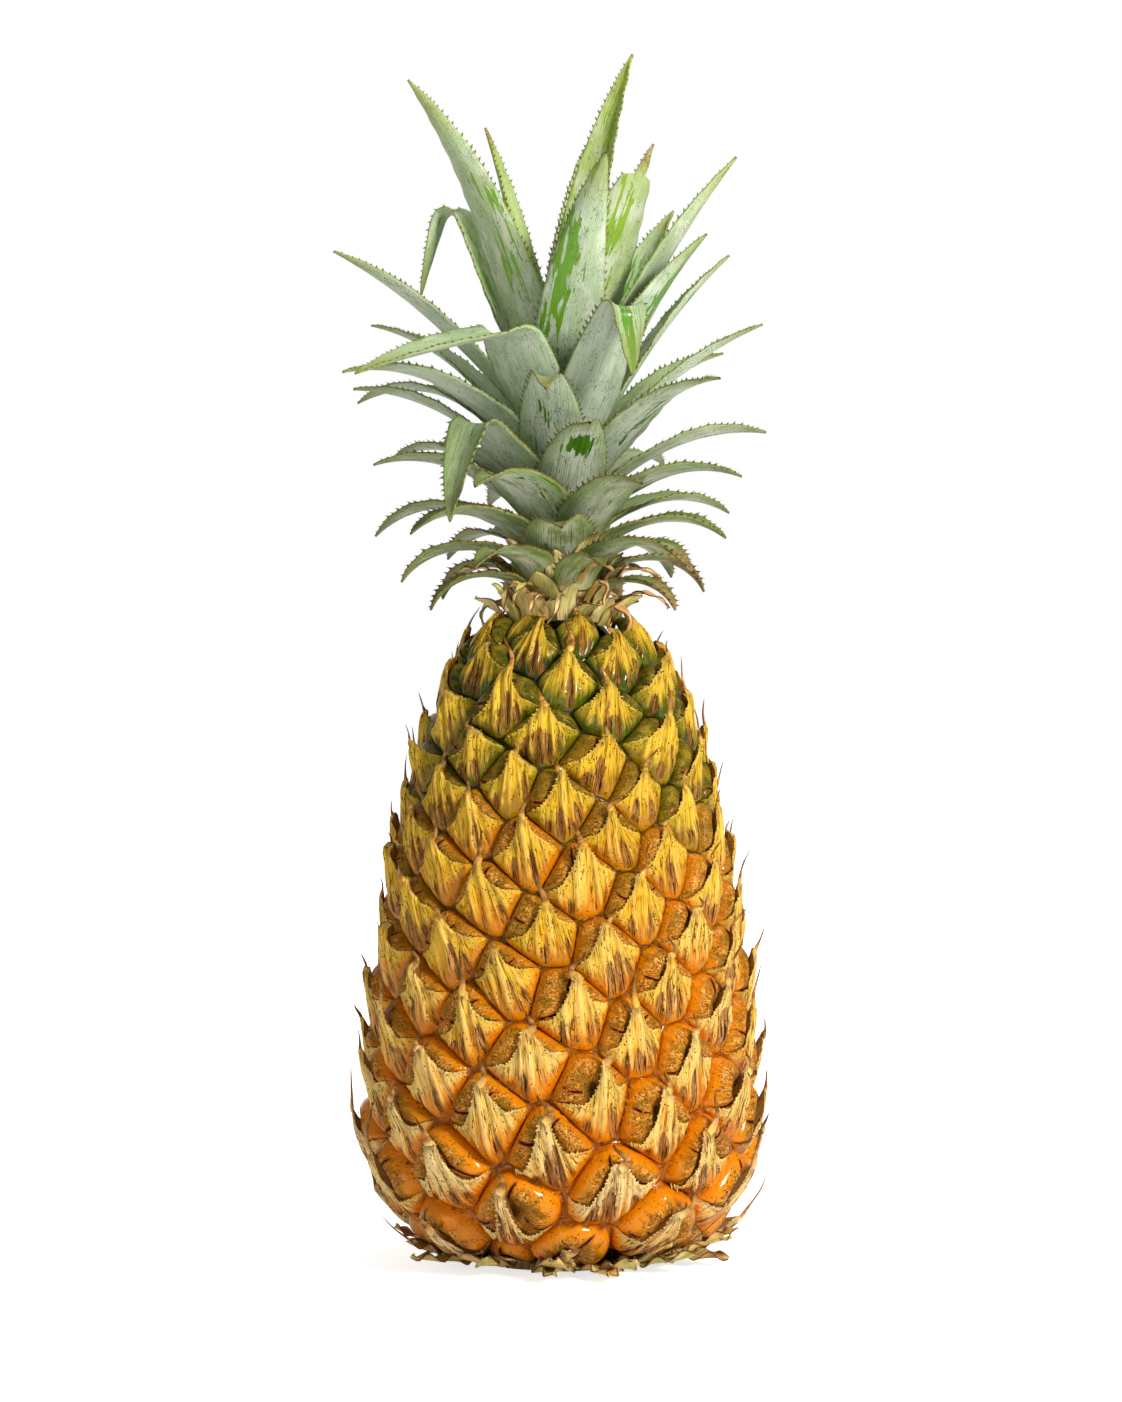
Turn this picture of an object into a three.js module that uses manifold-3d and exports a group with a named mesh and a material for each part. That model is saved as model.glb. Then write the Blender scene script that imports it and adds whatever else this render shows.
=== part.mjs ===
// A whole fresh pineapple standing on its base: the fruit with its eyes and bracts, the short stem
// on its top, and the crown of spiny leaves. Millimetres, +Z up, the origin on the floor under the
// fruit's axis. The front is -Y. The fruit and the crown's stem are one solid each, and every leaf is
// a solid of its own that stands clear of the others.
import * as THREE from "three";
import Module from "manifold-3d";
import { mergeVertices } from "three/addons/utils/BufferGeometryUtils.js";

const wasm = await Module();
wasm.setup();

const degrees = THREE.MathUtils.degToRad;
const mix = THREE.MathUtils.lerp;
const clamp = THREE.MathUtils.clamp;

// Driving dimensions of the fruit.
const FRUIT_RADIUS = 55; // in the grooves between the eyes, at the widest
const WIDEST_HEIGHT = 50;
const SHOULDER_HEIGHT = 197;
const NECK_RADIUS = 13.4;
const STALK_RADIUS = 24; // the cut stalk that the fruit stands on
const STALK_HEIGHT = 13;
const STALK_SIDES = 25; // an odd number, so that no edge of the flat end crosses the axis
const EYE_COUNT = 168;
const EYE_AREA_TOP = 260; // mm2
const EYE_AREA_GAIN = 340; // mm2 more at the base
const GOLDEN_ANGLE = degrees(137.508);
const FIRST_EYE_TURN = degrees(20);
const EDGE_STEP = 0.3; // how closely the cut-off rows at both ends are packed along the outline

// Driving dimensions of the crown.
const LEAF_COUNT = 54;
const TOP_LEAF_TURN = degrees(30); // azimuth of the innermost leaf
const STEM_FOOT = 198.4;
const LOWEST_ROOT = 201.8;
const ROOT_RISE = 60;
const LEAF_THICKNESS = 0.8;
const LEAF_GAP = 0.3;
const SHEATH_LENGTH = 9; // near its root a leaf hugs the stem before it leans out
const SHEATH_LEAN = degrees(27);
const ROOT_WRAP = 0.72; // half the angle that a root takes up round the stem, in radians
const SPINE_LENGTH = 1.7;
const SPINE_BASE = 1.5;
const OPENING_STEP = degrees(2); // a leaf that would touch an inner one is bent out by this much
const MOST_OPENINGS = 16;
const LONG_LEAF = 77; // from here up a leaf has more stations
const LINE_STEPS = 120;
const CREASE = 0.05; // half the length of a crease, as a share of the leaf

// A repeatable number from 0 to 1 for item k, different for each purpose j.
function chance(k, j) {
  const x = Math.sin((k + 1) * 12.9898 + (j + 1) * 78.233) * 43758.5453;
  return x - Math.floor(x);
}

function smooth(low, high, x) {
  const t = clamp((x - low) / (high - low), 0, 1);
  return t * t * (3 - 2 * t);
}

// Linear interpolation in a short list of [at, value] pairs.
function along(pairs, at) {
  const i = clamp(pairs.findIndex((p) => p[0] >= at), 1, pairs.length - 1);
  const [a, b] = [pairs[i - 1], pairs[i]];
  return mix(a[1], b[1], clamp((at - a[0]) / (b[0] - a[0]), 0, 1));
}

// Collects vertices and triangles of one closed surface.
class Shell {
  constructor() {
    this.points = [];
    this.faces = [];
  }
  point(v) {
    this.points.push(v.x, v.y, v.z);
    return this.points.length / 3 - 1;
  }
  vector(id) {
    return new THREE.Vector3().fromArray(this.points, 3 * id);
  }
  face(a, b, c) {
    this.faces.push(a, b, c);
  }
  fan(apex, chain) {
    for (let i = 0; i + 1 < chain.length; i++) this.face(apex, chain[i], chain[i + 1]);
  }
  geometry() {
    const g = new THREE.BufferGeometry();
    g.setAttribute("position", new THREE.Float32BufferAttribute(this.points, 3));
    g.setIndex(this.faces);
    return g;
  }
}

function solidOf(geometry) {
  const bare = geometry.clone();
  bare.deleteAttribute("normal");
  bare.deleteAttribute("uv");
  const merged = mergeVertices(bare, 1e-4);
  return new wasm.Manifold(
    new wasm.Mesh({
      numProp: 3,
      vertProperties: merged.attributes.position.array,
      triVerts: new Uint32Array(merged.index.array),
    }),
  );
}

function geometryOf(solid) {
  const mesh = solid.getMesh();
  const g = new THREE.BufferGeometry();
  g.setAttribute("position", new THREE.BufferAttribute(mesh.vertProperties, 3));
  g.setIndex(new THREE.BufferAttribute(mesh.triVerts, 1));
  return g;
}

// The fruit's outline in its grooves, from the stalk round the base and up to the neck.
function outlineOfFruit() {
  const path = new THREE.CurvePath();
  const at = (r, z) => new THREE.Vector2(r, z);
  path.add(
    new THREE.CubicBezierCurve(
      at(22, 5), at(38.4, 4), at(FRUIT_RADIUS, 20), at(FRUIT_RADIUS, WIDEST_HEIGHT),
    ),
  );
  path.add(
    new THREE.CubicBezierCurve(
      at(FRUIT_RADIUS, WIDEST_HEIGHT), at(FRUIT_RADIUS, 91),
      at(42.4, SHOULDER_HEIGHT - 9), at(NECK_RADIUS, SHOULDER_HEIGHT),
    ),
  );
  const steps = 400;
  const rows = [];
  let length = 0;
  let count = 0;
  let last = null;
  for (const curve of path.curves)
    for (let i = last ? 1 : 0; i <= steps; i++) {
      const p = curve.getPoint(i / steps);
      if (last) {
        const ds = p.distanceTo(last);
        const area =
          EYE_AREA_TOP +
          EYE_AREA_GAIN * clamp(1 - p.y / SHOULDER_HEIGHT, 0, 1) ** 1.6;
        length += ds;
        count += (2 * Math.PI * p.x * ds) / area;
      }
      rows.push({ r: p.x, z: p.y, s: length, count });
      last = p;
    }
  return rows;
}
const outline = outlineOfFruit();
const outlineEnd = outline[outline.length - 1];

// The outline's row where a rising key has the given value, interpolated.
function outlineAt(key, value) {
  let low = 0;
  let high = outline.length - 1;
  while (high - low > 1) {
    const middle = (low + high) >> 1;
    if (outline[middle][key] <= value) low = middle;
    else high = middle;
  }
  const [a, b] = [outline[low], outline[high]];
  const t = (value - a[key]) / (b[key] - a[key]);
  return { r: mix(a.r, b.r, t), z: mix(a.z, b.z, t), s: mix(a.s, b.s, t), a, b };
}

// A place on the fruit: turn round the axis, s along the outline, height out of the surface.
function onFruit(turn, s, height) {
  const row = outlineAt("s", s);
  const slope = new THREE.Vector2(row.b.r - row.a.r, row.b.z - row.a.z).normalize();
  const r = row.r + slope.y * height;
  const z = row.z - slope.x * height;
  return new THREE.Vector3(r * Math.cos(turn), r * Math.sin(turn), Math.max(z, 0.4));
}

// The eyes sit at the golden angle, and turn clockwise as they rise.
function eyePlace(k) {
  const turn = FIRST_EYE_TURN - k * GOLDEN_ANGLE;
  if (k < 0) return { turn, s: k * EDGE_STEP };
  if (k > EYE_COUNT - 1) return { turn, s: outlineEnd.s + (k - EYE_COUNT + 1) * EDGE_STEP };
  const share = ((k + 0.5) / EYE_COUNT) * outlineEnd.count;
  return { turn, s: outlineAt("count", share).s };
}

const turnBetween = (a, b) => Math.atan2(Math.sin(b - a), Math.cos(b - a));

// The corners where three eyes meet, each with the eyes round it.
function cornersOfEyes() {
  const far = (a, b) => {
    const [p, q] = [eyePlace(a), eyePlace(b)];
    const r = outlineAt("s", (p.s + q.s) / 2).r;
    return Math.hypot(turnBetween(p.turn, q.turn) * r, p.s - q.s);
  };
  const corners = [];
  for (let k = -42; k < EYE_COUNT + 21; k++) {
    const halves =
      far(k, k + 21) < far(k + 8, k + 13)
        ? [[k, k + 8, k + 21], [k, k + 13, k + 21]]
        : [[k, k + 8, k + 13], [k + 8, k + 13, k + 21]];
    for (const eyes of halves) {
      if (eyes.every((e) => e < 0 || e >= EYE_COUNT)) continue;
      const [a, b, c] = eyes.map(eyePlace);
      const r = outlineAt("s", (a.s + b.s + c.s) / 3).r;
      const bx = turnBetween(a.turn, b.turn) * r;
      const cx = turnBetween(a.turn, c.turn) * r;
      const [by, cy] = [b.s - a.s, c.s - a.s];
      const d = 2 * (bx * cy - by * cx);
      const ends = eyes.some((e) => e < 0 || e >= EYE_COUNT);
      const round = ends ? 0 : 0.7; // share of the circumcentre, the rest being the centroid
      const ux = (cy * (bx * bx + by * by) - by * (cx * cx + cy * cy)) / d;
      const uy = (bx * (cx * cx + cy * cy) - cx * (bx * bx + by * by)) / d;
      const x = mix((bx + cx) / 3, ux, round);
      const y = mix((by + cy) / 3, uy, round);
      corners.push({ eyes, turn: a.turn + x / r, s: a.s + y });
    }
  }
  return corners;
}
const corners = cornersOfEyes();

// One eye's cell: its corners in order round it, in millimetres across and along the surface.
function cellOf(k) {
  const { turn, s } = eyePlace(k);
  const { r } = outlineAt("s", s);
  const ring = corners
    .filter((c) => c.eyes.includes(k))
    .map((c) => ({ corner: c, x: turnBetween(turn, c.turn) * r, y: c.s - s }));
  const middle = { x: 0, y: 0 };
  for (const c of ring) {
    middle.x += c.x / ring.length;
    middle.y += c.y / ring.length;
  }
  for (const c of ring) c.angle = Math.atan2(c.y - middle.y, c.x - middle.x);
  ring.sort((p, q) => p.angle - q.angle);
  const xs = ring.map((c) => c.x);
  return { k, turn, s, r, ring, middle, wide: (Math.max(...xs) - Math.min(...xs)) / 2 };
}

// How far the cell's edge is from its middle in a direction.
function reach(cell, angle) {
  const [dx, dy] = [Math.cos(angle), Math.sin(angle)];
  for (let i = 0; i < cell.ring.length; i++) {
    const [p, q] = [cell.ring[i], cell.ring[(i + 1) % cell.ring.length]];
    const [px, py] = [p.x - cell.middle.x, p.y - cell.middle.y];
    const [ex, ey] = [q.x - p.x, q.y - p.y];
    const d = dx * ey - dy * ex;
    const t = (px * ey - py * ex) / d;
    const u = (px * dy - py * dx) / d;
    if (t > 0 && u >= -1e-9 && u <= 1 + 1e-9) return t;
  }
  return cell.wide;
}

// Heights above the groove in an eye of the usual size, 10 mm from its middle to its side.
const USUAL_EYE = 10;
// The eye's shoulder: direction in degrees, share of the way to the groove, height.
const SHOULDER = [
  [0, 0.86, 2.1], [48, 0.76, 2.8], [90, 0.78, 2.4], [132, 0.76, 2.8],
  [180, 0.86, 2.1], [228, 0.76, 2.5], [270, 0.74, 2.2], [312, 0.76, 2.5],
];
// The bract's and the dome's points: across, up, height. The bract is the pointed dry leaf over the
// lower half of the eye, with a keel down its middle and a free awn at its top.
const EYE_POINTS = {
  keel: [0, -0.28, 4.4],
  wingRight: [0.46, 0.2, 3.9], wingLeft: [-0.46, 0.2, 3.9],
  neckRight: [0.19, 0.62, 4.9], neckLeft: [-0.19, 0.62, 4.9],
  neckKeel: [0, 0.5, 5.6], neckUnder: [0, 0.6, 4.1],
  creaseRight: [0.4, 0.08, 2.7], creaseLeft: [-0.4, 0.08, 2.7], creaseMiddle: [0, 0.26, 2.9],
  domeRight: [0.42, 0.46, 3.6], domeLeft: [-0.42, 0.46, 3.6],
};
const EYE_FACES = [
  // the bract's outer face
  ["s4", "s5", "keel"], ["s5", "s6", "keel"], ["s6", "s7", "keel"], ["s7", "s0", "keel"],
  ["s0", "wingRight", "keel"], ["wingRight", "neckKeel", "keel"],
  ["wingRight", "neckRight", "neckKeel"], ["s4", "keel", "wingLeft"],
  ["wingLeft", "keel", "neckKeel"], ["wingLeft", "neckKeel", "neckLeft"],
  // the awn
  ["neckKeel", "awn", "neckLeft"], ["neckRight", "awn", "neckKeel"],
  ["neckLeft", "awn", "neckUnder"], ["neckUnder", "awn", "neckRight"],
  // the bract's inner face
  ["s4", "wingLeft", "creaseLeft"], ["wingLeft", "neckLeft", "creaseLeft"],
  ["neckLeft", "neckUnder", "creaseMiddle"], ["neckLeft", "creaseMiddle", "creaseLeft"],
  ["neckUnder", "neckRight", "creaseMiddle"], ["neckRight", "creaseRight", "creaseMiddle"],
  ["neckRight", "wingRight", "creaseRight"], ["wingRight", "s0", "creaseRight"],
  // the dome of the eye behind it
  ["s4", "creaseLeft", "domeLeft"], ["creaseLeft", "creaseMiddle", "domeLeft"],
  ["domeLeft", "creaseMiddle", "domeRight"], ["creaseMiddle", "creaseRight", "domeRight"],
  ["creaseRight", "s0", "domeRight"], ["s0", "s1", "domeRight"], ["s1", "s2", "domeRight"],
  ["domeRight", "s2", "domeLeft"], ["s2", "s3", "domeLeft"], ["s3", "s4", "domeLeft"],
];

// Where an eye's awn ends: across and up in shares of the cell, and its height.
function awnOf(cell) {
  const low = clamp(1 - cell.s / outlineEnd.s, 0, 1);
  return [
    0.5 * (chance(cell.k, 1) - 0.5),
    1.12 + 0.2 * low + 0.22 * chance(cell.k, 2),
    6.2 + 0.5 * low + 1.5 * chance(cell.k, 3),
  ];
}

// Joins an outer ring and an inner ring of points, both in order of their angles.
function stitch(shell, outer, inner) {
  let [i, j] = [0, 0];
  const turned = (ring, n) => ring[n % ring.length].angle + 2 * Math.PI * Math.floor(n / ring.length);
  while (i < outer.length || j < inner.length) {
    const a = outer[i % outer.length].id;
    const b = inner[j % inner.length].id;
    const outerNext = i < outer.length ? turned(outer, i + 1) : Infinity;
    const innerNext = j < inner.length ? turned(inner, j + 1) : Infinity;
    if (outerNext <= innerNext) shell.face(a, outer[++i % outer.length].id, b);
    else shell.face(a, inner[++j % inner.length].id, b);
  }
}

function addEye(shell, cell, cornerIds) {
  const size = cell.wide / USUAL_EYE;
  // Eyes under the base and under the crown are pressed flat.
  const freedom = smooth(4, 16, cell.s) * smooth(2, 10, outlineEnd.s - cell.s);
  const place = (x, y, height) =>
    shell.point(onFruit(cell.turn + x / cell.r, cell.s + y, height));
  const ids = {};
  const shoulder = SHOULDER.map(([direction, share, height], i) => {
    const angle = degrees(direction);
    const out = reach(cell, angle) * share;
    const x = cell.middle.x + Math.cos(angle) * out;
    const y = cell.middle.y + Math.sin(angle) * out;
    ids["s" + i] = place(x, y, height * size * mix(0.6, 1, freedom));
    return { id: ids["s" + i], angle: angle > Math.PI ? angle - 2 * Math.PI : angle };
  }).sort((p, q) => p.angle - q.angle);
  const points = { ...EYE_POINTS, awn: awnOf(cell) };
  for (const [name, [u, v, height]] of Object.entries(points)) {
    const across = u * Math.min(cell.wide, reach(cell, u > 0 ? 0 : Math.PI));
    const up = v * reach(cell, v > 0 ? Math.PI / 2 : -Math.PI / 2);
    const shrink = name === "awn" || name.startsWith("neck") ? mix(0.72, 1, freedom) : 1;
    ids[name] = place(
      cell.middle.x + across,
      cell.middle.y + up * shrink,
      height * size * mix(0.65, 1, freedom),
    );
  }
  for (const face of EYE_FACES) shell.face(...face.map((name) => ids[name]));
  const edge = cell.ring.map((c) => ({ id: cornerIds.get(c.corner), angle: c.angle }));
  stitch(shell, edge, shoulder);
}

// Closes the open loops that are left at the base and at the neck, each with a fan on the axis.
function capLoops(shell) {
  const next = new Map();
  const seen = new Set();
  for (let i = 0; i < shell.faces.length; i += 3)
    for (let j = 0; j < 3; j++)
      seen.add(shell.faces[i + j] + "," + shell.faces[i + ((j + 1) % 3)]);
  for (const edge of seen) {
    const [a, b] = edge.split(",");
    if (!seen.has(b + "," + a)) next.set(Number(b), Number(a));
  }
  while (next.size) {
    const [start] = next.keys();
    const loop = [start];
    let height = 0;
    for (let at = start; next.has(at); ) {
      const to = next.get(at);
      next.delete(at);
      height += shell.points[3 * at + 2];
      loop.push(to);
      at = to;
    }
    const apex = shell.point(new THREE.Vector3(0, 0, height / (loop.length - 1)));
    shell.fan(apex, loop);
  }
}

function fruitBody() {
  const shell = new Shell();
  const cornerIds = new Map(
    corners.map((c) => [c, shell.point(onFruit(c.turn, c.s, 0))]),
  );
  for (let k = 0; k < EYE_COUNT; k++) addEye(shell, cellOf(k), cornerIds);
  capLoops(shell);
  return solidOf(shell.geometry());
}

// The cut end of the stalk, the flat spot that the fruit stands on.
function stalk() {
  const rim = Array.from({ length: STALK_SIDES }, (_, i) => {
    const angle = (i / STALK_SIDES) * 2 * Math.PI;
    return new THREE.Vector2(Math.cos(angle), Math.sin(angle)).multiplyScalar(STALK_RADIUS);
  });
  const options = { depth: STALK_HEIGHT, bevelEnabled: false };
  return solidOf(new THREE.ExtrudeGeometry(new THREE.Shape(rim), options));
}

// A direction turned by an angle towards another one at a right angle to it.
function turned(from, towards, angle) {
  return from.clone().multiplyScalar(Math.cos(angle)).addScaledVector(towards, Math.sin(angle));
}

// The leaf's middle line: its point and directions at a share s of its length. The direction inner
// points out of the leaf's upper face.
function leafLine(leaf) {
  const radial = new THREE.Vector3(Math.cos(leaf.turn), Math.sin(leaf.turn), 0);
  const side = new THREE.Vector3(-Math.sin(leaf.turn), Math.cos(leaf.turn), 0);
  const up = new THREE.Vector3(0, 0, 1);
  const at = radial.clone().multiplyScalar(leaf.rootRadius).addScaledVector(up, leaf.rootHeight);
  const rows = [];
  for (let i = 0; i <= LINE_STEPS; i++) {
    const s = i / LINE_STEPS;
    const folded = smooth(leaf.fold.at - CREASE, leaf.fold.at + CREASE, s);
    const leaning = smooth(0, SHEATH_LENGTH / leaf.length, s);
    const lean = mix(Math.min(leaf.lean, leaf.rootLean), leaf.lean, leaning) + leaf.opening;
    const tilt = lean + leaf.bend * s ** 1.4 + leaf.fold.angle * folded;
    const drift = Math.atan(2 * leaf.swing * s) + leaf.fold.aside * folded;
    const ahead = turned(up, radial, tilt);
    const tangent = turned(ahead, side, drift);
    const level = turned(side, ahead, -drift);
    const above = tangent.clone().cross(level);
    const across = turned(level, above, leaf.roll * s);
    rows.push({ point: at.clone(), tangent, across, inner: tangent.clone().cross(across) });
    at.addScaledVector(tangent, leaf.length / LINE_STEPS);
  }
  return (s) => rows[Math.round(clamp(s, 0, 1) * LINE_STEPS)];
}

// Half the leaf's width, measured over its channel, at a share s of its length.
function leafHalfWidth(leaf, s) {
  const root = Math.min(0.8 * leaf.halfWidth, ROOT_WRAP * leaf.rootRadius);
  return mix(root, leaf.halfWidth, smooth(0, 0.3, s)) * (1 - s ** 2.1) ** 0.85;
}

// Half the angle of the channel's arc: round the crown's axis near the root, so that the leaves nest.
function leafChannel(leaf, s, point) {
  const nested = leafHalfWidth(leaf, s) / Math.hypot(point.x, point.y);
  return mix(nested, 0.75, smooth(0.3, 0.8, s));
}

const LEAF_COLUMNS = [-1, -0.38, 0.38, 1]; // places across the leaf, from edge to edge
// A point of the blade: s along it, t across it from -1 to 1, on its upper face or its lower one.
function leafPoint(leaf, line, s, t, face, thickness) {
  const row = line(s);
  const half = leafHalfWidth(leaf, s);
  const channel = leafChannel(leaf, s, row.point);
  const radius = half / channel;
  const angle = channel * t;
  const edge = Math.abs(t) === 1 ? 0.75 : 1; // the blade is thinner at its edges
  return row.point.clone()
    .addScaledVector(row.across, radius * Math.sin(angle))
    .addScaledVector(row.inner, radius * (1 - Math.cos(angle)))
    .addScaledVector(turned(row.inner, row.across, -angle), (face * thickness * edge) / 2);
}

// Stations along the leaf, from its root nearly to its tip, with three more round a crease.
function leafStations(leaf) {
  const list = [];
  for (let i = 0; i < leaf.stations; i++) list.push((i / (leaf.stations - 1)) ** 0.9 * 0.88);
  if (!leaf.fold.angle) return list;
  const { at } = leaf.fold;
  const kept = list.filter((s) => Math.abs(s - at) > 1.5 * CREASE);
  return [...kept, at - CREASE, at, at + CREASE].sort((a, b) => a - b);
}

// One segment of the leaf's edge: its upper and lower chains of points, and the wall between them.
function plainEdge([aTop, bTop], [aUnder, bUnder]) {
  const wall = [[aUnder, aTop, bTop], [aUnder, bTop, bUnder]];
  return { top: [aTop, bTop], under: [aUnder, bUnder], wall };
}

// The same with a spine on it, which leans to the leaf's tip.
function spinyEdge(shell, [aTop, bTop], [aUnder, bUnder], row, outwards, middle) {
  const [a, b] = [shell.vector(aTop), shell.vector(bTop)];
  const width = SPINE_BASE / a.distanceTo(b) / 2;
  const p = shell.point(a.clone().lerp(b, middle - width));
  const q = shell.point(a.clone().lerp(b, middle + width));
  const r = shell.point(shell.vector(aUnder).lerp(shell.vector(bUnder), middle));
  const tip = shell.point(
    a.clone().lerp(b, middle)
      .addScaledVector(row.across, 0.85 * SPINE_LENGTH * outwards)
      .addScaledVector(row.inner, 0.25 * SPINE_LENGTH)
      .addScaledVector(row.tangent, 0.5 * SPINE_LENGTH),
  );
  const wall = [
    [aUnder, aTop, p], [aUnder, p, r], [r, p, tip], [p, q, tip], [q, r, tip],
    [r, q, bTop], [r, bTop, bUnder],
  ];
  return { top: [aTop, p, q, bTop], under: [aUnder, r, bUnder], wall };
}

// A leaf's closed blade. Both faces are split along the same diagonals.
function leafSolid(leaf, thickness = LEAF_THICKNESS, columns = LEAF_COLUMNS) {
  const shell = new Shell();
  const line = leafLine(leaf);
  const stations = leafStations(leaf);
  const last = columns.length - 1;
  const end = stations.length - 1;
  const face = (side) =>
    stations.map((s) => columns.map((t) => shell.point(leafPoint(leaf, line, s, t, side, thickness))));
  const [top, under] = [face(1), face(-1)];
  const tip = shell.point(line(1).point);

  const above = (i, column) => [top[i][column], top[i + 1][column]];
  const below = (i, column) => [under[i][column], under[i + 1][column]];
  const seam = (i, column) => plainEdge(above(i, column), below(i, column));
  function edgeOf(i, column) {
    const step = shell.vector(top[i][column]).distanceTo(shell.vector(top[i + 1][column]));
    if (!leaf.spiny || i === 0 || step < 3 * SPINE_BASE) return seam(i, column);
    const middle = 0.35 + 0.3 * chance(leaf.index * 7 + i, column);
    const row = line(mix(stations[i], stations[i + 1], middle));
    return spinyEdge(shell, above(i, column), below(i, column), row, column ? 1 : -1, middle);
  }

  for (let i = 0; i < end; i++) {
    const edges = [edgeOf(i, 0), edgeOf(i, last)];
    for (let j = 0; j < last; j++) {
      const lower = j === 0 ? edges[0] : seam(i, j);
      const upper = j === last - 1 ? edges[1] : seam(i, j + 1);
      shell.fan(top[i + 1][j + 1], lower.top);
      shell.fan(under[i + 1][j + 1], lower.under.toReversed());
      shell.fan(top[i][j], upper.top.toReversed());
      shell.fan(under[i][j], upper.under);
    }
    for (const [a, b, c] of edges[0].wall) shell.face(a, c, b);
    for (const [a, b, c] of edges[1].wall) shell.face(a, b, c);
  }
  for (let j = 0; j < last; j++) {
    shell.face(top[end][j], tip, top[end][j + 1]);
    shell.face(under[end][j], under[end][j + 1], tip);
    shell.face(top[0][j], top[0][j + 1], under[0][j + 1]);
    shell.face(top[0][j], under[0][j + 1], under[0][j]);
  }
  shell.face(under[end][last], top[end][last], tip);
  shell.face(top[end][0], under[end][0], tip);
  return solidOf(shell.geometry());
}

// The crown's stem tapers inside the leaves' roots.
const STEM_OUTLINE = [[0, 12.6], [0.1, 12.4], [0.5, 9], [0.85, 6], [1, 4.5]];
const stemRadius = (height) =>
  along(STEM_OUTLINE, (height - STEM_FOOT) / (LOWEST_ROOT + ROOT_RISE - STEM_FOOT));

// From the lowest leaf, 0, to the innermost, 1. Angles in degrees from the upright.
const LENGTHS = [[0, 30], [0.1, 36], [0.25, 46], [0.45, 58], [0.6, 70], [0.8, 86], [1, 104]];
const HALF_WIDTHS = [[0, 7.5], [0.2, 10], [0.45, 11], [0.8, 10.5], [1, 9]];
const LEANS = [[0, 66], [0.2, 56], [0.45, 42], [0.6, 34], [0.8, 24], [1, 6]];
const BENDS = [[0, 96], [0.2, 86], [0.45, 66], [0.6, 46], [0.8, 24], [1, 6]];

// Leaves with a look of their own, numbered from the lowest: length, lean, bend, and then swing to
// the side, half width, a turn of its own, and a crease: share of the length, angle, angle aside.
const OWN_LOOK = {
  2: { length: 36, lean: 66, bend: 90 },
  4: { length: 30, lean: 50, bend: 70 },
  7: { length: 36, lean: 56, bend: 76 },
  12: { length: 36, lean: 38, bend: 62, halfWidth: 11.5 },
  14: { length: 44, lean: 50, bend: 78 },
  17: { length: 46, lean: 40, bend: 60, halfWidth: 11.5 },
  19: { length: 50, lean: 46, bend: 66 },
  20: { length: 52, lean: 38, bend: 70, halfWidth: 12 },
  22: { length: 55, lean: 46, bend: 60 },
  23: { length: 55, lean: 46, bend: 62 },
  25: { length: 50, lean: 26, bend: 50, halfWidth: 12 },
  26: { length: 62, lean: 48, bend: 60 },
  27: { length: 61, lean: 44, bend: 52 },
  28: { length: 72, lean: 46, bend: 16, fold: [0.53, 94, 0], halfWidth: 10.5 },
  30: { length: 72, lean: 40, bend: 44 },
  31: { length: 66, lean: 40, bend: 50 },
  34: { length: 76, lean: 34, bend: 80, turn: 150 },
  33: { length: 54, lean: 18, bend: 36, fold: [0.82, 50, 0], halfWidth: 11.5 },
  35: { length: 72, lean: 38, bend: 30, halfWidth: 10 },
  36: { length: 75, lean: 41, bend: 62 },
  38: { length: 79, lean: 16, bend: 8, swing: 0.06, fold: [0.73, 142, 0], halfWidth: 11.5 },
  39: { length: 76, lean: 38, bend: 40 },
  40: { length: 80, lean: 30, bend: 18 },
  41: { length: 92, lean: 24, bend: 20, fold: [0.46, 62, -42], halfWidth: 13 },
  42: { length: 78, lean: 20, bend: 36 },
  43: { length: 76, lean: 28, bend: 16, halfWidth: 12 },
  44: { length: 86, lean: 38, bend: 26, halfWidth: 10.5 },
  45: { length: 92, lean: 29, bend: 18, halfWidth: 10.5 },
  46: { length: 93, lean: 8, bend: 14, swing: 0.12, halfWidth: 11.5 },
  47: { length: 103, lean: 21, bend: 10, fold: [0.72, 132, 0], halfWidth: 10.5, turn: 154 },
  48: { length: 94, lean: 27, bend: 12, halfWidth: 11.5, turn: -22 },
  49: { length: 112, lean: 15, bend: 25, halfWidth: 11.5 },
  50: { length: 90, lean: 9, bend: 9 },
  51: { length: 85, lean: 18, bend: 8, halfWidth: 11.5, turn: -48 },
  52: { length: 88, lean: 3, bend: 6, halfWidth: 10, turn: 152 },
  53: { length: 110, lean: 3, bend: 10, swing: -0.14, halfWidth: 10, turn: 62 },
};

// What a leaf or a bract has where nothing else is said. Its crease has no angle.
const PLAIN_BLADE = {
  swing: 0,
  roll: 0,
  opening: 0,
  rootLean: Infinity,
  spiny: false,
  stations: 3,
  fold: { at: 0.5, angle: 0, aside: 0 },
};

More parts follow.
